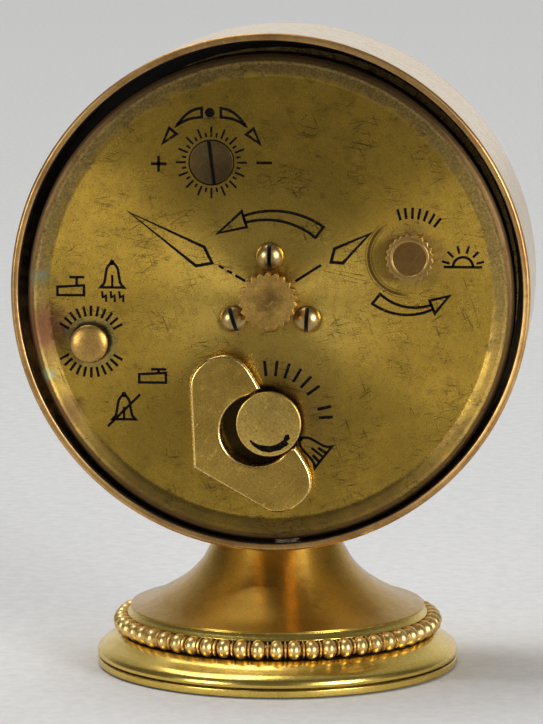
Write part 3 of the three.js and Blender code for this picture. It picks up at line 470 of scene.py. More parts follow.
def cover_metal():
    """The back cover: circular-brushed brass gone olive, with pits, stains and a tarnished edge, and painted shade
    in its hollows, in the gap by the rim, round the button and beside the key.
    """
    s = Shader("cover_brass")
    broad = s.noise(0.11, detail=4, rough=0.6)
    middle = s.noise(0.7, detail=6, rough=0.68, distortion=0.5)
    grain = s.noise(5.0, detail=5, rough=0.75)
    speckle = s.noise(3.4, detail=6, rough=0.85)
    patch = s.noise(0.28, detail=3)
    rings = s.turned_lines(pitch=7.0, drift=1.1)
    radius, across_y = s.radius(), s.along("Y")
    colour = s.mix(s.ramp(broad, 0.38, 0.62), (0.67, 0.42, 0.06), (0.53, 0.335, 0.049))

    def layer(share, tint, strength=1.0):
        nonlocal colour
        colour = s.mix(s.times(share, strength), colour, tint)

    def away_from(centre):
        return s.vector("DISTANCE", s.place, (*centre, COVER_FACE))

    layer(s.ramp(middle, 0.48, 0.72, 0.0, 0.6), (0.30, 0.185, 0.036))
    layer(s.ramp(rings, 0.3, 0.75), (0.34, 0.215, 0.045), 0.3)
    layer(s.ramp(grain, 0.46, 0.66, 0.0, 0.4), (0.26, 0.165, 0.035))
    layer(s.ramp(grain, 0.44, 0.30, 0.0, 0.35), (0.80, 0.56, 0.13))
    layer(s.ramp(away_from(KNOB_AT), 5.0, 17.0, 0.4, 0.0), (0.86, 0.60, 0.14))

    # The edge: a tarnished band above, dull patches below, then the slope, the crest and the well, which goes near
    # black as painted shade in the gap.
    ragged = s.plus(radius, s.times(s.minus(middle, 0.5), 3.4))
    band = s.times(s.ramp(ragged, 25.5, 26.3), s.ramp(across_y, -16.0, 8.0))
    layer(band, (0.23, 0.175, 0.075), 0.45)
    layer(s.times(band, s.ramp(speckle, 0.46, 0.56, 0.0, 0.9)), (0.062, 0.056, 0.042))
    layer(s.times(band, s.ramp(speckle, 0.43, 0.36, 0.0, 0.6)), (0.42, 0.36, 0.22))
    below = s.times(s.ramp(ragged, 25.2, 26.4), s.ramp(across_y, 2.0, -8.0))
    layer(s.times(below, s.ramp(patch, 0.42, 0.56, 0.0, 0.4)), (0.24, 0.14, 0.045))
    layer(s.times(s.ramp(ragged, 25.4, 26.4), s.ramp(speckle, 0.44, 0.58, 0.0, 0.45)), (0.17, 0.115, 0.05))
    slope = s.times(s.ramp(radius, 25.6, 25.9), s.ramp(radius, 26.9, 27.1, 1.0, 0.0))
    layer(slope, (0.22, 0.15, 0.045), 0.45)
    crest = s.times(s.ramp(radius, 27.0, 27.1), s.ramp(radius, 27.25, 27.4, 1.0, 0.0))
    layer(s.times(crest, s.ramp(middle, 0.35, 0.65, 0.0, 0.6)), (0.46, 0.32, 0.12))
    outer = s.ramp(radius, 27.3, 27.5)
    layer(outer, (0.15, 0.085, 0.036), 0.85)
    # Painted shade: the cover's side wall, down in the gap by the case rim, goes near black.
    layer(s.times(s.ramp(s.along("Z"), 9.55, 9.35), outer), (0.012, 0.009, 0.007))

    scratch = s.hairlines(0.2, 26, 1.8, 0.013, 1.7)
    for angle, seed in ((1.2, 5.1), (2.6, 9.4), (2.95, 12.2)):
        scratch = s.math("MAXIMUM", scratch, s.hairlines(angle, 18, 2.0, 0.012, seed))
    scratch = s.times(scratch, s.ramp(s.noise(0.35, detail=2), 0.45, 0.62))
    layer(scratch, (0.055, 0.04, 0.016), 0.8)
    cells = s.add("ShaderNodeTexVoronoi", Vector=s.place, Scale=1.1)
    chance = s.add("ShaderNodeSeparateColor", Color=cells.outputs["Color"]).outputs[0]
    spots = s.times(s.ramp(cells.outputs["Distance"], 0.05, 0.13, 1.0, 0.0), s.ramp(chance, 0.72, 0.74))
    layer(spots, (0.06, 0.05, 0.025), 0.8)

    # Stains, and painted shade round the button and beside the key: centre, inner and outer reach, tint, strength,
    # raggedness.
    # The key's painted shadow is centred a little off the post, towards the key.
    key_shadow_centre = tuple(c - 1.1 * t for c, t in zip(WINDER_AT, polar(1, KEY_TURN)))
    for centre, inner, reach, tint, strength, uneven in (
        ((-25.8, -3.6), 1.0, 4.4, (0.15, 0.062, 0.03), 0.9, 5.0),
        ((-23.6, -13.6), 0.4, 2.8, (0.16, 0.08, 0.035), 0.8, 5.0),
        ((-26.6, 2.6), 0.2, 1.6, (0.17, 0.21, 0.13), 0.7, 5.0),
        ((-26.2, -9.2), 0.2, 1.4, (0.20, 0.25, 0.16), 0.7, 5.0),
        (BUTTON_AT, 2.3, 3.3, (0.27, 0.28, 0.14), 0.5, 3.2),
        # A thin near-black ring round the button: painted shade of the gap it sits in.
        (BUTTON_AT, 2.25, 2.6, (0.02, 0.015, 0.01), 0.9, 0.4),
        (WINDER_AT, 5.0, 9.5, (0.24, 0.155, 0.05), 0.4, 2.4),
        (ALARM_AT, 2.4, 4.6, (0.26, 0.165, 0.06), 0.5, 2.4),
        # A near-black crescent beside the post: painted shadow of the key, the same in every pose.
        (key_shadow_centre, 4.4, 5.1, (0.016, 0.012, 0.008), 0.93, 0.6),
    ):
        away = s.plus(away_from(centre), s.times(s.minus(middle, 0.5), uneven))
        layer(s.ramp(away, inner, reach, strength, 0.0), tint)

    # Rings worn round the alarm knob, on its left side.
    off_centre = s.vector("SUBTRACT", s.place, (ALARM_AT[0] - 0.5, ALARM_AT[1] - 0.1, COVER_FACE))
    on_left = s.ramp(s.vector("DOT_PRODUCT", off_centre, (-0.95, -0.3, 0)), 0.6, 2.4)
    for size, width, depth in ((4.35, 0.16, 0.85), (4.0, 0.06, 0.6), (4.72, 0.05, 0.6)):
        ring = s.math("ABSOLUTE", s.minus(s.vector("LENGTH", off_centre), size))
        ring = s.times(s.ramp(ring, width * 0.6, width * 1.6, 1.0, 0.0), on_left)
        layer(ring, (0.09, 0.042, 0.018), depth)
    # Hollows found by ambient occlusion darken near black: painted shade, with some grime.
    layer(s.ramp(s.crevice(0.8, samples=6), 0.25, 0.85, 1.0, 0.0), (0.05, 0.033, 0.012), 0.75)

    rough = s.plus(0.285, s.times(s.minus(middle, 0.5), 0.22))
    rough = s.plus(rough, s.times(s.minus(grain, 0.5), 0.25))
    worn_edge = s.math("MAXIMUM", band, s.ramp(radius, 25.8, 26.6))
    rough = s.plus(rough, s.times(worn_edge, 0.2), clamp=True)
    height = s.plus(s.times(rings, 0.8), s.times(grain, 0.8))
    height = s.plus(height, s.times(s.times(speckle, band), 2.0))
    height = s.minus(height, s.times(scratch, 0.6))
    height = s.minus(height, s.times(spots, 1.2))
    return s.finish(
        Base_Color=colour, Metallic=1.0, Roughness=rough, Anisotropic=0.85, Anisotropic_Rotation=0.25,
        Tangent=s.radial_tangent(), Normal=s.bump(height, strength=0.35, distance=0.02),
    )


def plain(name, colour, roughness, grain=0.05, **inputs):
    """A painted, lacquered or felt surface with a fine grain."""
    s = Shader(name)
    mottled = s.noise(1.3, detail=5)
    fine = s.noise(18.0, detail=3)
    tint = s.mix(s.ramp(mottled, 0.35, 0.7, 0.0, 0.35), colour, tuple(c * 0.7 for c in colour))
    rough = s.plus(roughness, s.times(s.minus(mottled, 0.5), 0.15))
    normal = s.bump(fine, strength=grain, distance=0.03)
    return s.finish(Base_Color=tint, Roughness=rough, Normal=normal, **inputs)


def ink():
    """Black printing, rubbed through in small specks."""
    s = Shader("print_black")
    specks = s.noise(4.5, detail=5, rough=0.7)
    worn = s.ramp(specks, 0.62, 0.70)
    colour = s.mix(worn, (0.005, 0.004, 0.003), (0.30, 0.22, 0.08))
    return s.finish(Base_Color=colour, Metallic=worn, Roughness=0.85, Specular_IOR_Level=0.03)


def glass():
    """Clear, slightly smudged, and open to the light that falls on the dial."""
    s = Shader("clear_crystal")
    smudge = s.noise(0.5, detail=5, rough=0.6)
    rough = s.ramp(smudge, 0.4, 0.8, 0.02, 0.1)
    open_to_light = s.add("ShaderNodeMixShader")
    s.put(open_to_light.inputs[0], s.ray("Shadow"))
    s.put(open_to_light.inputs[1], s.surface.outputs["BSDF"])
    s.put(open_to_light.inputs[2], s.add("ShaderNodeBsdfTransparent").outputs[0])
    s.put(s.output.inputs["Surface"], open_to_light.outputs[0])
    return s.finish(
        Base_Color=(0.97, 0.985, 0.98, 1.0), Roughness=rough, IOR=1.45, Transmission_Weight=1.0,
    )


# Each metal's bright and dark colours, its roughness, and how else it differs from common old brass.
METALS = {
    "case": ((0.82, 0.62, 0.34), (0.70, 0.50, 0.24), 0.2,
             dict(lines=0.35, blotch=0.55, scratches=0.6, seed=2.0)),
    "rim": ((0.64, 0.39, 0.14), (0.36, 0.19, 0.065), 0.36,
            dict(blotch=1.0, scratches=0.0, crevice=0.0, seed=5.0)),
    "flare": ((0.51, 0.305, 0.05), (0.38, 0.215, 0.032), 0.34,
              dict(lines=1.0, anisotropic=0.8, blotch=0.6, scratches=0.0, crevice=1.0, seed=7.0)),
    "foot": ((0.83, 0.60, 0.14), (0.65, 0.44, 0.085), 0.24,
             dict(blotch=0.6, scratches=0.25, crevice=0.9, wear=0.15, seed=9.0)),
    "bead": ((0.90, 0.64, 0.25), (0.68, 0.44, 0.14), 0.36,
             dict(grime_and_shade=(0.20, 0.10, 0.035), blotch=0.7, scratches=0.0, crevice=0.25, seed=11.0)),
    "knob": ((0.56, 0.34, 0.085), (0.42, 0.24, 0.055), 0.4,
             dict(grime_and_shade=(0.15, 0.08, 0.025), blotch=0.8, scratches=1.0, crevice=0.45,
                  middle_stain=2.2, grain=0.4, seed=13.0)),
    "knob_rim": ((0.62, 0.41, 0.13), (0.42, 0.26, 0.08), 0.34,
                 dict(blotch=0.8, scratches=0.6, crevice=0.3, seed=53.0)),
    "button": ((0.53, 0.32, 0.085), (0.38, 0.22, 0.06), 0.4,
               dict(grime_and_shade=(0.20, 0.10, 0.035), blotch=0.8, scratches=0.6, crevice=0.5, grain=0.45,
                    seed=17.0)),
    "alarm_face": ((0.30, 0.165, 0.045), (0.17, 0.09, 0.028), 0.4,
                   dict(blotch=0.9, scratches=0.8, crevice=0.3, seed=47.0)),
    "key": ((0.62, 0.395, 0.08), (0.40, 0.245, 0.048), 0.32,
            dict(grime_and_shade=(0.14, 0.09, 0.03), blotch=1.0, scratches=1.0, crevice=0.7, grain=0.4,
                 seed=19.0)),
    # Paler brass on the key's bevels: worn edges, and a painted highlight along them.
    "key_edge_wear_and_highlight": ((0.90, 0.68, 0.30), (0.70, 0.48, 0.16), 0.26,
                 dict(blotch=0.8, scratches=0.0, crevice=0.0, grain=0.6, seed=61.0)),
    "post": ((0.84, 0.57, 0.14), (0.56, 0.36, 0.08), 0.32,
             dict(grime_and_shade=(0.24, 0.14, 0.05), blotch=1.0, scratches=1.0, crevice=0.6, grain=0.45,
                  seed=23.0)),
    # Near-black grime in the hollows paints shade into the slot and under the head.
    "screw": ((0.58, 0.42, 0.18), (0.28, 0.18, 0.07), 0.32,
              dict(grime_and_shade=(0.02, 0.014, 0.008), blotch=0.8, scratches=0.3, crevice=0.9, seed=29.0)),
    # Near-black grime in the hollows paints shade into the slot and round the head.
    "regulator": ((0.12, 0.08, 0.03), (0.06, 0.038, 0.018), 0.42,
                  dict(grime_and_shade=(0.01, 0.008, 0.006), blotch=0.9, scratches=1.0, crevice=0.5, seed=31.0)),
    "steel": ((0.55, 0.54, 0.52), (0.38, 0.36, 0.33), 0.28, dict(crevice=0.0, seed=37.0)),
    "movement": ((0.74, 0.56, 0.24), (0.60, 0.44, 0.17), 0.28,
                 dict(lines=0.4, scratches=0.4, crevice=0.0, seed=41.0)),
    "spring": ((0.06, 0.09, 0.20), (0.03, 0.03, 0.06), 0.28,
               dict(blotch=0.6, scratches=0.2, crevice=0.0)),
}
LOOKS = {
    "cover": cover_metal(),
    "ink": ink(),
    "glass": glass(),
    "black": plain("case_black", (0.014, 0.013, 0.013), 0.32, grain=0.12),
    # Near black for the inside of screw slots: painted shade, with some grime.
    "slot": plain("slot_shade_and_grime", (0.012, 0.011, 0.006), 0.8, grain=0.3),
    "felt": plain("base_felt", (0.05, 0.045, 0.03), 0.95, grain=0.9, Sheen_Weight=0.4),
    "dial": plain("dial_enamel", (0.84, 0.79, 0.66), 0.5, grain=0.15),
    "figures": plain("dial_figures", (0.02, 0.018, 0.015), 0.45),
    "hands": plain("hand_black", (0.015, 0.014, 0.014), 0.3),
}
for name, (bright, dark, roughness, settings) in METALS.items():
    LOOKS[name] = aged_metal(f"{name}_metal", bright, dark, roughness, **settings)


# ---------------------------------------------------------------- foot

def base_pad():
    low, high = local_box("base_pad", FLOOR)
    profile = rounded([(0, low.z, 0), (high.x, low.z, 0.15), (high.x, high.z, 0.15), (0, high.z, 0)])
    piece = turned_piece("base_felt_pad", profile, 128, FLOOR, LOOKS["felt"])
    settle(piece, "case", "base_pad", slot="felt")


def base_ring():
    low, high = local_box("base_ring", FLOOR)
    radius, top = high.x, high.z
    edge = rounded([
        (radius - 0.9, low.z, 0), (radius - 0.02, low.z, 0.12), (radius, 0.98, 0.12),
        (radius - 0.42, 1.12, 0.06), (radius - 0.1, 1.26, 0.06),
    ])
    ogee = smooth_through([
        (radius - 0.05, 1.32), (radius, 1.62), (radius - 0.18, 2.08), (radius - 0.62, 2.5),
        (radius - 1.12, 2.82), (radius - 1.62, 3.14), (radius - 2.1, 3.5), (radius - 2.7, 3.85),
    ])
    inside = [(17.2, 4.1), (16.8, top - 0.7), (19.4, top - 0.9), (radius - 0.9, 1.2)]
    piece = turned_piece("foot_ring", [*edge, *ogee, *inside], 192, FLOOR, LOOKS["foot"], closed=True)
    settle(piece, "case", "base_ring", slot="polished_brass")


def ball(centre, size, out, across, rings=10, segments=16):
    """A squashed ball: size is its half-widths along out, across and up."""
    tilts = [math.pi * i / rings for i in range(rings + 1)]
    verts, faces = turned([(math.sin(tilt), math.cos(tilt)) for tilt in tilts], segments)
    axes = [axis * width for axis, width in zip((out, across, Vector((0, 0, 1))), size)]
    return [tuple(centre + axes[0] * x + axes[1] * y + axes[2] * z) for x, y, z in verts], faces


def joined(parts):
    verts, faces = [], []
    for more, cells in parts:
        faces += [tuple(i + len(verts) for i in cell) for cell in cells]
        verts += more
    return verts, faces


def bead_ring():
    """Fat beads round a core, with a thin collar in each gap, each a little uneven."""
    low, high = local_box("bead_ring", FLOOR)
    half_height = (high.z - low.z) / 2
    middle = (high.z + low.z) / 2
    ring_r = high.x - 1.2
    count = 57
    bead, collar = (1.2, 0.93, half_height), (0.95, 0.2, 0.98)
    draw = random.Random(7)
    core = [
        (ring_r - 0.1 + 0.55 * math.cos(TURN * i / 16), middle + 0.6 * math.sin(TURN * i / 16))
        for i in range(16)
    ]
    parts = [turned(core, 240, closed=True)]
    for i in range(count):
        for shift, size in ((0.0, bead), (0.5, collar)):
            angle = TURN * (i + shift + draw.uniform(-0.03, 0.03)) / count
            out = Vector((*polar(1, angle), 0))
            across = Vector((*polar(1, angle + math.pi / 2), 0))
            swell = draw.uniform(0.95, 1.03)
            grown = tuple(width * swell for width in size)
            parts.append(ball(out * ring_r + Vector((0, 0, middle)), grown, out, across))
    piece = new_piece("bead_band", *joined(parts), FLOOR, LOOKS["bead"])
    settle(piece, "case", "bead_ring", slot="bead_brass")


def flare():
    """The trumpet foot, drawn up to the drum's underside all the way round."""
    low, high = local_box("pedestal_flare", FLOOR)
    drum_r = (case_high.z - case_low.z) / 2 / MM
    drum_z = (case_high.z + case_low.z) / 2 / MM
    rim_r, rim_z = high.x, low.z + 0.4
    bend, top = 12.5, 15.9
    cove_top = 6.88
    cove = rounded([
        (rim_r - 1.2, 6.0, 0), (rim_r + 0.5, 6.0, 0.1), (rim_r + 0.12, 6.45, 0.3),
        (rim_r - 0.12, 6.82, 0.1), (rim_r, 6.9, 0.05),
    ])
    sweep = smooth_through([
        (rim_r - 0.02, rim_z + 0.02), (rim_r - 2.1, 7.72), (13.3, 8.78), (11.45, 9.9),
        (9.95, 11.15), (8.8, bend), (7.95, 13.9), (7.4, 15.0), (7.1, top),
    ], steps=6)
    inner = [(radius - 0.6, z - 0.25) for radius, z in reversed(sweep[2:])] + [(rim_r - 1.2, 6.6)]
    verts, faces = turned([*cove, *sweep, *inner], 160, closed=True)
    fixed = []
    for x, y, z in verts:
        if z > bend:
            under = drum_z - math.sqrt(drum_r ** 2 - x ** 2) - 0.02
            z = bend + (under - bend) * (z - bend) / (top - bend)
        fixed.append((x, y, z))
    piece = new_piece("flare_shell", fixed, faces, FLOOR, [LOOKS["flare"], LOOKS["foot"]],
                      pick=lambda at: int(at.z < cove_top))
    settle(piece, "case", "pedestal_flare", slot="satin_brass")


# ---------------------------------------------------------------- case and front

def case_shell():
    low, high = local_box("case_drum", DRUM)
    radius, front, back = high.x, low.z, high.z
    inner = radius - 0.6
    ledge_r, ledge_z = 27.3, -5.4
    profile = rounded([
        (radius, front, 0.1), (radius, back - 0.22, 0.2), (radius - 0.3, back, 0.25),
        (radius - 0.8, back - 0.12, 0.2), (radius - 0.92, back - 0.45, 0.15),
        (radius - 0.9, back - 1.0, 0.1), (inner, back - 1.4, 0), (inner, ledge_z, 0),
        (ledge_r, ledge_z, 0.1), (ledge_r, ledge_z - 1.1, 0.1), (inner, ledge_z - 1.1, 0),
        (inner, front, 0),
    ], closed=True, steps=5)

    def pick(at):
        """The rim's edge is bare copper-coloured brass, and the inside of the drum is black."""
        if math.hypot(at.x, at.y) < radius - 0.84 and at.z < back - 0.3:
            return 2
        return int(at.z > back - 0.4)

    looks = [LOOKS["case"], LOOKS["rim"], LOOKS["black"]]
    piece = turned_piece("case_shell", profile, 256, DRUM, looks, closed=True, pick=pick)
    settle(piece, "case", "case_drum", slot="polished_brass")


def front_bezel():
    low, high = local_box("front_bezel", DRUM)
    radius, front = high.x, low.z
    ring = smooth_through([
        (radius - 0.05, front + 2.7), (radius, front + 2.0), (radius - 0.35, front + 1.1),
        (radius - 1.2, front + 0.3), (radius - 2.3, front), (radius - 3.2, front + 0.15),
        (radius - 3.55, front + 0.5), (radius - 3.6, front + 0.75),
    ], steps=6)
    seat = [(28.0, -13.1), (28.0, -11.7), (28.4, -11.7), (28.4, -8.2), (29.1, -8.2), (29.1, -11.1)]
    piece = turned_piece("bezel_ring", [*ring, *seat], 256, DRUM, LOOKS["case"], closed=True)
    settle(piece, "case", "front_bezel", slot="polished_brass")


def front_glass():
    """A domed crystal of even thickness."""
    low, high = local_box("front_glass", DRUM)
    rise, thick, steps = 1.5, 0.85, 14
    outside = [(high.x * i / steps, low.z + rise * (i / steps) ** 2) for i in range(steps + 1)]
    inside = [(reach, z + thick) for reach, z in reversed(outside)]
    piece = turned_piece("crystal", [*outside, *inside], 160, DRUM, LOOKS["glass"])
    settle(piece, "case", "front_glass", slot="clear_glass")


# ---------------------------------------------------------------- back cover and its print

def back_cover():
    low, high = local_box("back_cover", MOVEMENT)
    radius, lip_z, front = high.x, high.z, low.z
    sheet = 0.5
    outside = rounded([
        (0, COVER_FACE, 0), (COVER_FLAT_R, COVER_FACE, 1.0), (radius - 1.15, lip_z - 0.16, 0.25),
        (radius - 0.9, lip_z, 0.25), (radius - 0.4, lip_z - 0.1, 0.35), (radius, 9.1, 0.5),
        (radius, front, 0.1), (radius - sheet, front, 0.1),
    ], steps=6)
    inside = [(radius - sheet, 9.0), (radius - 1.1, lip_z - 0.7), (COVER_FLAT_R, COVER_FACE - sheet),
              (0, COVER_FACE - sheet)]
    rings = [(COVER_FLAT_R * i / 12, COVER_FACE) for i in range(1, 12)]
    profile = [outside[0], *rings, *outside[1:], *inside]
    piece = turned_piece("cover_plate", profile, 256, MOVEMENT, LOOKS["cover"])
    above, below = COVER_FACE + 2.75, COVER_FACE - 3.25
    for at, size in (
        (REGULATOR_AT, 2.66), (BUTTON_AT, 1.0), (ALARM_AT, 1.1), (WINDER_AT, 1.4), (KNOB_AT, 1.2),
    ):
        cut_away(piece, *turned([(0, below), (size, below), (size, above), (0, above)], 48, at=at))
    settle(piece, "case", "back_cover", slot="aged_brass")


# Printed marks are thin raised ribbons on the cover, sunk a little so that no gap shows.
INK_TOP = COVER_FACE + 0.018
INK_FOOT = COVER_FACE - 0.05
THICK, THIN = 0.36, 0.3


def ribbon(points, width=THICK, closed=False):
    """A thin raised line along a polyline in the cover's plane."""
    count = len(points)
    left, right = [], []
    for i, point in enumerate(points):
        here = Vector(point)
        into = (here - Vector(points[i - 1])).normalized() if closed or i else None
        onto = (Vector(points[(i + 1) % count]) - here).normalized() if closed or i < count - 1 else None
        leading = into or onto
        along = (leading + (onto or into)).normalized()
        side = Vector((-along.y, along.x))
        miter = min(1.0 / max(abs(along.dot(leading)), 0.4), 2.5)
        left.append(here + side * width / 2 * miter)
        right.append(here - side * width / 2 * miter)
    verts = [(p.x, p.y, z) for z in (INK_FOOT, INK_TOP) for p in (*left, *right)]
    faces = []
    low_l, low_r, top_l, top_r = 0, count, 2 * count, 3 * count
    for i in range(count if closed else count - 1):
        k = (i + 1) % count
        faces += [
            (top_l + i, top_r + i, top_r + k, top_l + k), (low_l + i, low_l + k, low_r + k, low_r + i),
            (low_l + i, top_l + i, top_l + k, low_l + k), (low_r + i, low_r + k, top_r + k, top_r + i),
        ]
    if not closed:
        for i in (0, count - 1):
            faces.append((low_l + i, low_r + i, top_r + i, top_l + i))
    return verts, faces


def blob(points):
    """A filled convex mark."""
    count = len(points)
    verts = [(x, y, z) for z in (INK_FOOT, INK_TOP) for x, y in points]
    faces = [tuple(range(count)), tuple(range(count, 2 * count))]
    faces += [(i, (i + 1) % count, count + (i + 1) % count, count + i) for i in range(count)]
    return verts, faces


def dashes(at, *ends, width=THIN):
    """Straight strokes, each (x1, y1, x2, y2), about a centre."""
    x, y = at
    return [ribbon([(x + a, y + b), (x + c, y + d)], width) for a, b, c, d in ends]


def tick_arc(at, inner, outer, degrees, width=THIN):
    """Strokes that point at a centre."""
    ends = [(*polar(inner, math.radians(d)), *polar(outer, math.radians(d))) for d in degrees]
    return dashes(at, *ends, width=width)


def arc_arrow(at, inner, outer, start, neck, tip, taper=1.0, head=1.9):
    """A hollow curved arrow: a band from start to neck that narrows to taper, and a head."""
    middle, half, steps = (inner + outer) / 2, (outer - inner) / 2, 14
    out, back = [], []
    for i in range(steps + 1):
        share = i / steps
        angle = math.radians(start + (neck - start) * share)
        width = half * (1 - share * (1 - taper))
        out.append(polar(middle + width, angle))
        back.append(polar(middle - width, angle))
    neck, tip = math.radians(neck), math.radians(tip)
    point = [polar(middle + head / 2, neck), polar(middle, tip), polar(middle - head / 2, neck)]
    return [ribbon(moved(loop, at), 0.32, closed=True) for loop in ([*out, *reversed(back)], point)]


def moved(points, at, turn=0.0, grow=1.0):
    spin = Matrix.Rotation(turn, 2)
    return [tuple(spin @ Vector(point) * grow + Vector(at)) for point in points]


def bell(at, turn=0.0, grow=1.0, crossed=False, ringing=True):
    """A bell drawn in outline, with strokes under it, or crossed out."""
    side = smooth_through([(0.25, 1.9), (0.62, 1.35), (0.78, 0.5), (0.95, -0.35), (1.35, -0.85)], 4)
    outline = [*side, *[(-x, y) for x, y in reversed(side)]]
    marks = [ribbon(moved(outline, at, turn, grow), 0.3, closed=True)]
    marks.append(ribbon(moved([(0, -0.9), (0, 0.6)], at, turn, grow), 0.28))
    marks.append(blob(moved(circle(0.28, (0, 2.1), 12), at, turn, grow)))
    if ringing:
        for x in (-1.0, 0.0, 1.0):
            stroke = [(x - 0.2, -1.3), (x - 0.12, -2.0), (x + 0.26, -1.82), (x + 0.28, -2.55)]
            marks.append(ribbon(moved(stroke, at, turn, grow), 0.26))
    if crossed:
        marks.append(ribbon(moved([(-1.9, -1.7), (1.9, 2.1)], at, turn, grow), 0.3))
    return marks


def push_button_icon(at, raised):
    """A button on its stem, up or down."""
    lift = 1.3 if raised else 0.75
    case = [(-1.6, -0.8), (1.5, -0.8), (1.5, 0.35), (-1.6, 0.15)]
    return [ribbon(moved(case, at), THIN, closed=True),
            *dashes(at, (0.65, 0.3, 0.65, lift), (-0.2, lift, 1.55, lift))]


def rising_sun(at):
    """Half a disc on a line, with rays, for the morning."""
    return [ribbon(arc(1.15, 0, 180, at, 14), THIN), *dashes(at, (-2.2, 0, 2.2, 0)),
            *tick_arc(at, 1.6, 2.5, range(15, 180, 30), 0.28)]


def regulator_scale():
    """A scale of ticks with a plus, a minus, and a pair of curved arrows over a dot."""
    at = REGULATOR_AT
    marks = tick_arc(at, 2.95, 4.1, [90 + 22.5 * i for i in range(16)], 0.24)
    marks += tick_arc(at, 2.95, 3.45, [101.25 + 22.5 * i for i in range(16)], 0.24)
    plus = ((-7.0, -0.2, -5.2, -0.2), (-6.1, -1.1, -6.1, 0.7))
    marks += dashes(at, *plus, (5.2, 0, 7.0, 0), width=0.32)
    marks.append(blob(moved(circle(0.55, segments=20), (at[0] - 0.17, at[1] + 5.73))))
    crescent = [*smooth_through([(-1.1, 6.25), (-2.1, 6.0), (-3.1, 5.3), (-4.0, 4.2)], 4),
                *smooth_through([(-4.0, 4.2), (-3.3, 4.65), (-2.3, 5.05), (-1.1, 5.2)], 4)[1:]]
    head = [(-4.86, 3.92), (-5.6, 2.2), (-4.0, 3.25)]
    for side in (1, -1):
        for loop in (crescent, head):
            marks.append(ribbon(moved([(side * x, y) for x, y in loop], at), 0.32, closed=True))
    return marks


def hand_outlines():
    """A long and a short hand in outline, each with a broken line to the knob."""
    marks = [ribbon(loop, closed=True) for loop in (
        [(-16.25, 9.8), (-7.6, 5.9), (-6.7, 4.05), (-8.55, 3.7)],
        [(11.5, 7.6), (7.45, 5.85), (7.05, 4.3), (8.4, 4.2)],
    )]
    return marks + dashes(
        KNOB_AT, (-5.9, 3.75, -5.35, 3.45), (-4.95, 3.2, -4.4, 2.9), (-4.0, 2.65, -2.85, 2.0),
        (5.9, 3.95, 2.95, 2.05))


def cover_print():
    marks = regulator_scale() + hand_outlines()
    marks += arc_arrow(KNOB_AT, 8.85, 10.4, 53.5, 108, 128.5, taper=0.5, head=1.9)

    ax, ay = ALARM_AT
    marks += arc_arrow(ALARM_AT, 5.63, 7.07, 231.5, 293, 314, taper=0.35, head=1.6)
    marks += tick_arc(ALARM_AT, 4.3, 5.6, [52 + 9 * i for i in range(7)])
    marks += rising_sun((ax + 6.0, ay - 1.2))

    bx, by = BUTTON_AT
    marks += push_button_icon((bx - 2.3, by + 6.2), raised=True)
    marks += bell((bx + 2.5, by + 7.2))
    for start in (30, 210):
        marks += tick_arc(BUTTON_AT, 3.0, 4.2, [start + 12 * i for i in range(11)])
    marks += push_button_icon((bx + 7.2, by - 3.9), raised=False)
    marks += bell((bx + 3.8, by - 8.2), crossed=True, ringing=False)

    wx, wy = WINDER_AT
    marks += tick_arc(WINDER_AT, 5.2, 7.0, range(36, 97, 12), 0.34)
    marks += tick_arc(WINDER_AT, 5.6, 7.2, [14, 4], 0.34)
    tilt, struck = math.radians(52), (wx + 5.3, wy - 3.6)
    marks += bell(struck, turn=tilt, grow=1.2, ringing=False)
    for x in (-0.6, 0.5):
        marks.append(ribbon(moved([(x, -0.85), (x * 0.8, 0.1)], struck, tilt, 1.2), 0.34))
    piece = new_piece("cover_print", *joined(marks), MOVEMENT, LOOKS["ink"])
    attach(piece, "case")


# ---------------------------------------------------------------- controls on the cover

def serrated(radius, depth, teeth):
    """A toothed outline with slightly blunt points."""
    blunt = radius - 0.06
    tooth = ((0.0, radius - depth), (0.36, blunt), (0.5, radius), (0.64, blunt))
    return [polar(reach, TURN * (i + share) / teeth) for i in range(teeth) for share, reach in tooth]


def at_axis(place, at):
    """A local frame with its own axis at (x, y), so that textures centre on the piece."""
    return place @ Matrix.Translation((at[0] * MM, at[1] * MM, 0))


def time_set_knob():
    low, high = local_box("time_set_knob", MOVEMENT)
    place = at_axis(MOVEMENT, KNOB_AT)
    disc = slab(serrated(3.36, 0.38, 22), 11.25, high.z, bevel=0.07)
    settle(mesh_piece("time_knob", disc, place, LOOKS["knob"]), "hand_setting", "time_set_knob",
           slot="copper_brass")
    neck = [(0, 11.3), (1.3, 11.3), (1.0, 11.0), (1.0, low.z), (0, low.z)]
    hub = turned_piece("time_knob_hub", neck, 64, place, LOOKS["knob"])
    settle(hub, "hand_setting", slot="copper_brass")


def alarm_set_knob():
    low, high = local_box("alarm_set_knob", MOVEMENT)
    place = at_axis(MOVEMENT, ALARM_AT)
    rim = slab(serrated(2.79, 0.26, 21), 11.2, high.z - 0.16, bevel=0.09)
    settle(mesh_piece("alarm_knob_rim", rim, place, LOOKS["knob_rim"]), "alarm_setting",
           "alarm_set_knob", slot="copper_brass")
    face = rounded([
        (0, high.z - 0.14, 0), (1.95, high.z - 0.1, 0.1), (2.05, high.z, 0.06), (2.2, high.z, 0.08),
        (2.3, high.z - 0.2, 0), (2.2, 11.3, 0), (0.9, 11.2, 0), (0.9, low.z, 0), (0, low.z, 0),
    ])
    piece = turned_piece("alarm_knob_face", face, 64, place, [LOOKS["alarm_face"], LOOKS["knob_rim"]],
                         pick=lambda at: int(math.hypot(at.x, at.y) > 1.93))
    settle(piece, "alarm_setting", slot="copper_brass")


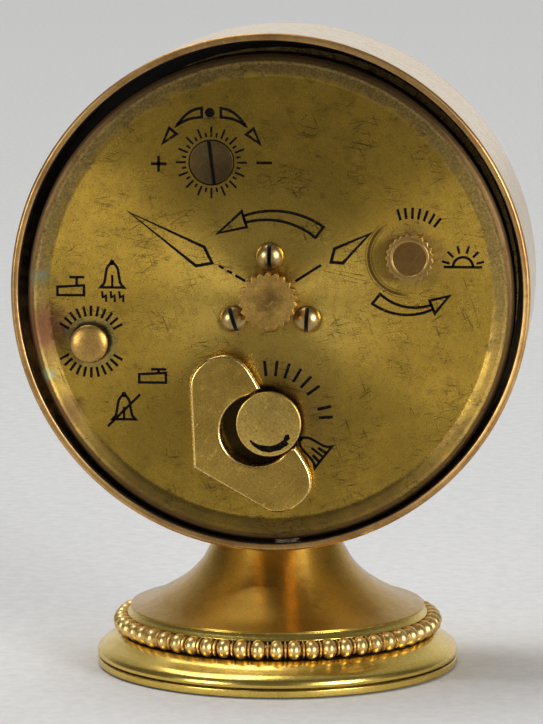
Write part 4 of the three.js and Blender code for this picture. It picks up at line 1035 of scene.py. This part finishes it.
def stop_button():
    low, high = local_box("stop_button", MOVEMENT)
    dome = smooth_through([
        (0, high.z), (0.6, high.z - 0.02), (1.2, high.z - 0.09), (1.7, high.z - 0.22),
        (2.04, high.z - 0.4), (2.19, high.z - 0.56), (2.1, high.z - 0.7),
    ], steps=5)
    stem = rounded([(0.8, high.z - 0.7, 0.08), (0.8, low.z, 0.1), (0, low.z, 0)])
    piece = turned_piece("stop_button_cap", [*dome, *stem], 64, at_axis(MOVEMENT, BUTTON_AT),
                         LOOKS["button"])
    settle(piece, "button", "stop_button", slot="copper_brass")


def cover_screws():
    """Round-head screws, each slot turned its own way."""
    for i, (at, slot_angle) in enumerate(zip(SCREWS_AT, (90, 107, 87))):
        node = f"back_screw_{i + 1}"
        low, high = local_box(node, MOVEMENT)
        head_r, under = 1.58, high.z - 1.15
        dome = smooth_through([
            (0, high.z), (0.55, high.z - 0.06), (1.05, high.z - 0.28), (1.42, high.z - 0.62),
            (head_r, under + 0.12),
        ], steps=5)
        profile = [*dome, (head_r, under), (0.7, under), (0.7, low.z), (0, low.z)]
        piece = turned_piece(f"cover_screw_{i + 1}", profile, 56, at_axis(MOVEMENT, at),
                             [LOOKS["screw"], LOOKS["slot"]])
        # The slot's faces take the near-black slot look: painted shade with some grime.
        cut_away(piece, *boxed((5, 0.46, 1.3), (0, 0, high.z + 0.05), math.radians(slot_angle)))
        settle(piece, "case", node, slot="steel")


def regulator_screw():
    low, high = local_box("regulator_screw", MOVEMENT)
    head_r, under = 2.53, 9.15
    profile = rounded([
        (0, high.z, 0), (head_r, high.z, 0.08), (head_r, under, 0), (0.5, under, 0), (0.5, low.z, 0),
        (0, low.z, 0),
    ])
    piece = turned_piece("regulator_head", profile, 72, at_axis(MOVEMENT, REGULATOR_AT),
                         [LOOKS["regulator"], LOOKS["slot"]])
    # The slot's faces take the near-black slot look: painted shade with some grime.
    cut_away(piece, *boxed((7, 0.47, 0.9), (0, 0, high.z), math.radians(97)))
    settle(piece, "regulator_adjuster", "regulator_screw", slot="steel")


# ---------------------------------------------------------------- winding post and folding key

def winding_post():
    """The turned post, and the pin across it that the key folds on."""
    low, high = local_box("winding_arbor", MOVEMENT)
    place = at_axis(MOVEMENT, WINDER_AT)
    head_r, neck_r, stem_r = 3.76, 2.6, 1.2
    profile = rounded([
        (0, high.z, 0), (head_r, high.z, 0.16), (head_r, high.z - 0.72, 0.12),
        (neck_r, high.z - 0.8, 0.1), (neck_r, 10.4, 0.1), (stem_r + 0.05, 10.2, 0.1),
        (stem_r, low.z, 0), (0, low.z, 0),
    ])
    piece = turned_piece("winding_post", profile, 96, place, LOOKS["post"])
    settle(piece, "winder", "winding_arbor", slot="polished_brass")

    pin_low, pin_high = local_box("key_hinge_pin", MOVEMENT)
    pin_r, length = 0.34, 10.6
    pin = rounded([(0, 0, 0), (pin_r, 0, 0.1), (pin_r, length, 0.1), (0, length, 0)])
    turn = (
        Matrix.Translation((0, 0, (pin_low.z + pin_high.z) / 2 * MM))
        @ Matrix.Rotation(KEY_TURN, 4, "Z") @ Matrix.Rotation(-math.pi / 2, 4, "X")
        @ Matrix.Translation((0, 0, -length / 2 * MM))
    )
    piece = turned_piece("key_pin", pin, 24, place @ turn, LOOKS["screw"])
    settle(piece, "winder", "key_hinge_pin", slot="steel")


def post_mark():
    """The worn black arrow on the post's face."""
    high = local_box("winding_arbor", MOVEMENT)[1].z
    draw = random.Random(3)

    def ragged(reach, angle):
        return polar(reach + draw.uniform(-0.05, 0.05), math.radians(angle + draw.uniform(-0.6, 0.6)))

    steps = 26
    outer, inner = [], []
    for i in range(steps + 1):
        share = i / steps
        half = 0.05 + 0.33 * min(1.0, share * 2.2) ** 0.7
        outer.append(ragged(2.86 + half, 221 + 96 * share))
        inner.append(ragged(2.86 - half, 221 + 96 * share))
    tip = [(2.9, 317), (2.95, 326), (2.62, 335), (2.3, 329), (2.45, 316)]
    for name, loop in (
        ("post_mark", [*outer, *reversed(inner)]),
        ("post_mark_tip", [ragged(reach, angle) for reach, angle in tip]),
    ):
        piece = mesh_piece(name, slab(loop, high - 0.02, high + 0.015), at_axis(MOVEMENT, WINDER_AT),
                           LOOKS["ink"])
        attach(piece, "winder")


def key_wing():
    """The heart-shaped wing, with bevelled edges and a round opening for the post."""
    low, high = local_box("key_wing", MOVEMENT)
    middle, half = (low.z + high.z) / 2, 0.62
    lobe = smooth_through([
        (1.15, 3.9), (1.22, 5.4), (1.1, 7.2), (0.35, 8.85), (-0.95, 9.72), (-2.5, 10.0),
        (-4.0, 9.72), (-5.1, 9.1), (-5.75, 8.3),
    ], steps=5)
    upper = [*lobe, (-10.2, 0.25), (-10.34, 0.0)]
    lower = [(x, -y) for x, y in reversed(upper[:-1])]
    opening = arc(4.1, -68, -292, at=(-1.8, 0), steps=32)
    outline = moved([*upper, *lower, *opening], (0, 0), KEY_TURN)
    mesh = slab(outline, middle - half, middle + half, bevel=0.4, bevel_steps=4)
    # The bevel faces take the paler edge look: wear and a painted highlight.
    piece = mesh_piece("key_heart", mesh, at_axis(MOVEMENT, WINDER_AT), [LOOKS["key"], LOOKS["key_edge_wear_and_highlight"]],
                       pick=lambda at: int(abs(at.z - middle) < half - 0.01))
    settle(piece, "key", "key_wing", slot="polished_brass")


# ---------------------------------------------------------------- dial and hands

def front_place(z):
    """A local frame on the dial side: x to the reader's right, y up, z towards the reader."""
    return MOVEMENT @ Matrix.Translation((0, 0, z * MM)) @ Matrix.Rotation(math.pi, 4, "Y")


def dial():
    low, high = local_box("dial", MOVEMENT)
    face, hole_r = -low.z, 2.3
    profile = rounded([
        (hole_r, face, 0.05), (20.8, face, 0.4), (21.0, face + 0.12, 0.3), (22.2, face + 0.12, 0.3),
        (22.4, face, 0.4), (high.x, face, 0.1), (high.x, face - 0.4, 0), (hole_r, face - 0.4, 0),
    ], closed=True)
    piece = turned_piece("dial_plate", profile, 192, front_place(0), LOOKS["dial"], closed=True)
    settle(piece, "case", "dial", slot="dial_enamel")
    figures(face)


def hour_figure(words, size, depth):
    curve = bpy.data.curves.new("figure", "FONT")
    curve.body = words
    curve.align_x = curve.align_y = "CENTER"
    curve.size = size * MM
    curve.extrude = depth * MM / 2
    holder = in_scene("figure", curve)
    mesh = final_mesh(holder)
    bpy.data.objects.remove(holder)
    bpy.data.curves.remove(curve)
    return mesh


def figures(face):
    """Twelve hour figures and a minute track, raised a hair above the dial."""
    figures_r, track_r, depth = 17.0, 25.0, 0.06
    middle = face + 0.02
    work = bmesh.new()
    for hour in range(1, 13):
        x, y = polar(figures_r, math.pi / 2 - TURN * hour / 12)
        mesh = hour_figure(str(hour), 6.2, depth)
        mesh.transform(Matrix.Translation(Vector((x, y, middle)) * MM))
        work.from_mesh(mesh)
    for minute in range(60):
        width, inner = (0.55, 22.9) if minute % 5 == 0 else (0.22, 23.6)
        tick = mesh_of("tick", *boxed((track_r - inner, width, depth), ((inner + track_r) / 2, 0, middle)))
        tick.transform(Matrix.Rotation(TURN * minute / 60, 4, "Z"))
        work.from_mesh(tick)
    mesh = bpy.data.meshes.new("dial_figures")
    work.to_mesh(mesh)
    work.free()
    piece = mesh_piece("dial_figures", mesh, front_place(0), LOOKS["figures"])
    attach(piece, "case")


def hand(name, node, body, half, boss_r, look, slot, degrees):
    """A bevelled hand from half its outline. degrees is its reading, clockwise from twelve."""
    low, high = local_box(node, MOVEMENT)
    under, top = -high.z, -low.z
    outline = [*half, *[(-x, y) for x, y in reversed(half)]]
    mesh = slab(outline, under, top, bevel=0.05, bevel_steps=2)
    boss = rounded([(0, under, 0), (boss_r, under, 0.05), (boss_r, top + 0.05, 0.12), (0, top + 0.12, 0)])
    work = bmesh.new()
    work.from_mesh(mesh)
    work.from_mesh(mesh_of("boss", *turned(boss, 48)))
    work.to_mesh(mesh)
    work.free()
    mesh.transform(Matrix.Rotation(math.radians(-degrees), 4, "Z"))
    settle(mesh_piece(name, mesh, front_place(0), look), body, node, slot=slot)


def hands():
    minute = [(0.55, 1.2), (0.62, 5.0), (1.05, 9.0), (0.55, 16.0), (0.12, 21.3)]
    hour = [(0.7, 1.6), (0.8, 4.2), (1.6, 7.2), (0.8, 11.6), (0.12, 14.3)]
    alarm = [(0.4, 2.2), (0.42, 6.0), (0.9, 7.2), (0.1, 9.0)]
    black, copper = (LOOKS["hands"], "hand_black"), (LOOKS["button"], "copper_brass")
    hand("minute_pointer", "minute_hand", "hand_setting", minute, 1.9, *black, degrees=58)
    hand("hour_pointer", "hour_hand", "hour_work", hour, 2.3, *black, degrees=305)
    hand("alarm_pointer", "alarm_hand", "alarm_indicator", alarm, 2.8, *copper, degrees=125)


# ---------------------------------------------------------------- the movement inside

def finish_cad_nodes():
    """The CAD nodes that stay get the look of their material slot, and crisp edges."""
    looks = {"steel": "steel", "spring_steel": "spring", "movement_brass": "movement",
             "copper_brass": "knob", "polished_brass": "post", "aged_brass": "movement"}
    slots = {row["node"]: row["material_slot"] for row in frame["record"]["subparts"]}
    for name, node in frame["nodes"].items():
        if node.hide_render:
            continue
        node.data.materials.clear()
        node.data.materials.append(LOOKS[looks[slots[name]]])
        for polygon in node.data.polygons:
            polygon.use_smooth = True
        node.data.set_sharp_from_angle(angle=math.radians(28))


# ---------------------------------------------------------------- stage, light and camera

def stage():
    half = 8000
    corners = [(-half, -half, 0), (half, -half, 0), (half, half, 0), (-half, half, 0)]
    floor = in_scene("floor", mesh_of("floor", corners, [(0, 1, 2, 3)]))
    s = Shader("floor_cloth")
    weave = s.noise(0.55, detail=6, rough=0.7)
    colour = s.mix(s.ramp(weave, 0.3, 0.7), (0.80, 0.798, 0.796), (0.72, 0.718, 0.716))
    # The brass sees a dark floor on the camera's side, as if a black card lay there.
    card = s.times(s.ray("Glossy"), s.ramp(s.along("Y"), 45.0, 150.0, 0.0, 0.75))
    colour = s.mix(card, colour, (0.02, 0.018, 0.015))
    floor.data.materials.append(s.finish(
        Base_Color=colour, Roughness=0.95, Normal=s.bump(weave, strength=0.3, distance=0.4)))


def soft_light(name, azimuth, elevation, width, radiance):
    """A softbox facing the clock. Azimuth is in degrees from +Y towards +X."""
    aim, distance, height = Vector((0, 0, 0.04)), 1.1, 0.44
    around, up = math.radians(azimuth), math.radians(elevation)
    towards = Vector((
        math.sin(around) * math.cos(up), math.cos(around) * math.cos(up), math.sin(up)))
    lamp = bpy.data.lights.new(name, "AREA")
    lamp.shape = "RECTANGLE"
    lamp.size, lamp.size_y = width, height
    lamp.energy = radiance * math.pi * width * height
    lamp.color = (1.0, 0.99, 0.97)
    holder = in_scene(name, lamp)
    holder.location = aim + towards * distance
    holder.rotation_euler = (-towards).to_track_quat("-Z", "Y").to_euler()


def studio_world():
    """Bright overhead and behind the clock, dim on the camera's side, pale where it is seen."""
    world = bpy.data.worlds.new("studio")
    bpy.context.scene.world = world
    w = Nodes(world)
    towards = w.add("ShaderNodeSeparateXYZ", Vector=w.add("ShaderNodeTexCoord").outputs["Generated"])
    y, z = towards.outputs["Y"], towards.outputs["Z"]
    overhead = w.ramp(w.minus(z, y), 0.35, 1.25, 0.0, 0.42)
    behind = w.ramp(y, -0.97, -0.35, 0.78, 0.10)
    seen = w.add("ShaderNodeMix", {"data_type": "FLOAT"}, Factor=w.ray("Camera"),
                 A=w.math("MAXIMUM", overhead, behind), B=0.62)
    background = w.add("ShaderNodeBackground", Color=(1.0, 0.998, 0.995, 1), Strength=seen.outputs[0])
    w.add("ShaderNodeOutputWorld", Surface=background.outputs[0])


def lights():
    soft_light("left_box", azimuth=41, elevation=5, width=0.34, radiance=11.0)
    soft_light("right_box", azimuth=-45, elevation=10, width=0.36, radiance=17.5)
    overhead = bpy.data.lights.new("overhead", "SUN")
    overhead.energy = 1.5
    overhead.angle = math.radians(36)
    in_scene("overhead", overhead).rotation_euler = (math.radians(7), math.radians(18), 0)
    studio_world()


def camera():
    data = bpy.data.cameras.new("camera")
    data.sensor_width, data.lens = 36, 200.2
    data.clip_start, data.clip_end = 0.05, 20
    holder = in_scene("camera", data)
    holder.location = Vector((-42.48, 468.33, 101.2)) * MM
    aim = Vector((0.72, 0, 35.86)) * MM
    holder.rotation_euler = (aim - holder.location).to_track_quat("-Z", "Y").to_euler()
    bpy.context.scene.camera = holder


for build in (
    base_pad, base_ring, bead_ring, flare, case_shell, front_bezel, front_glass, back_cover,
    cover_print, time_set_knob, alarm_set_knob, stop_button, cover_screws, regulator_screw,
    winding_post, post_mark, key_wing, dial, hands, finish_cad_nodes, stage, lights, camera,
):
    build()
bpy.context.scene.view_settings.view_transform = "Standard"
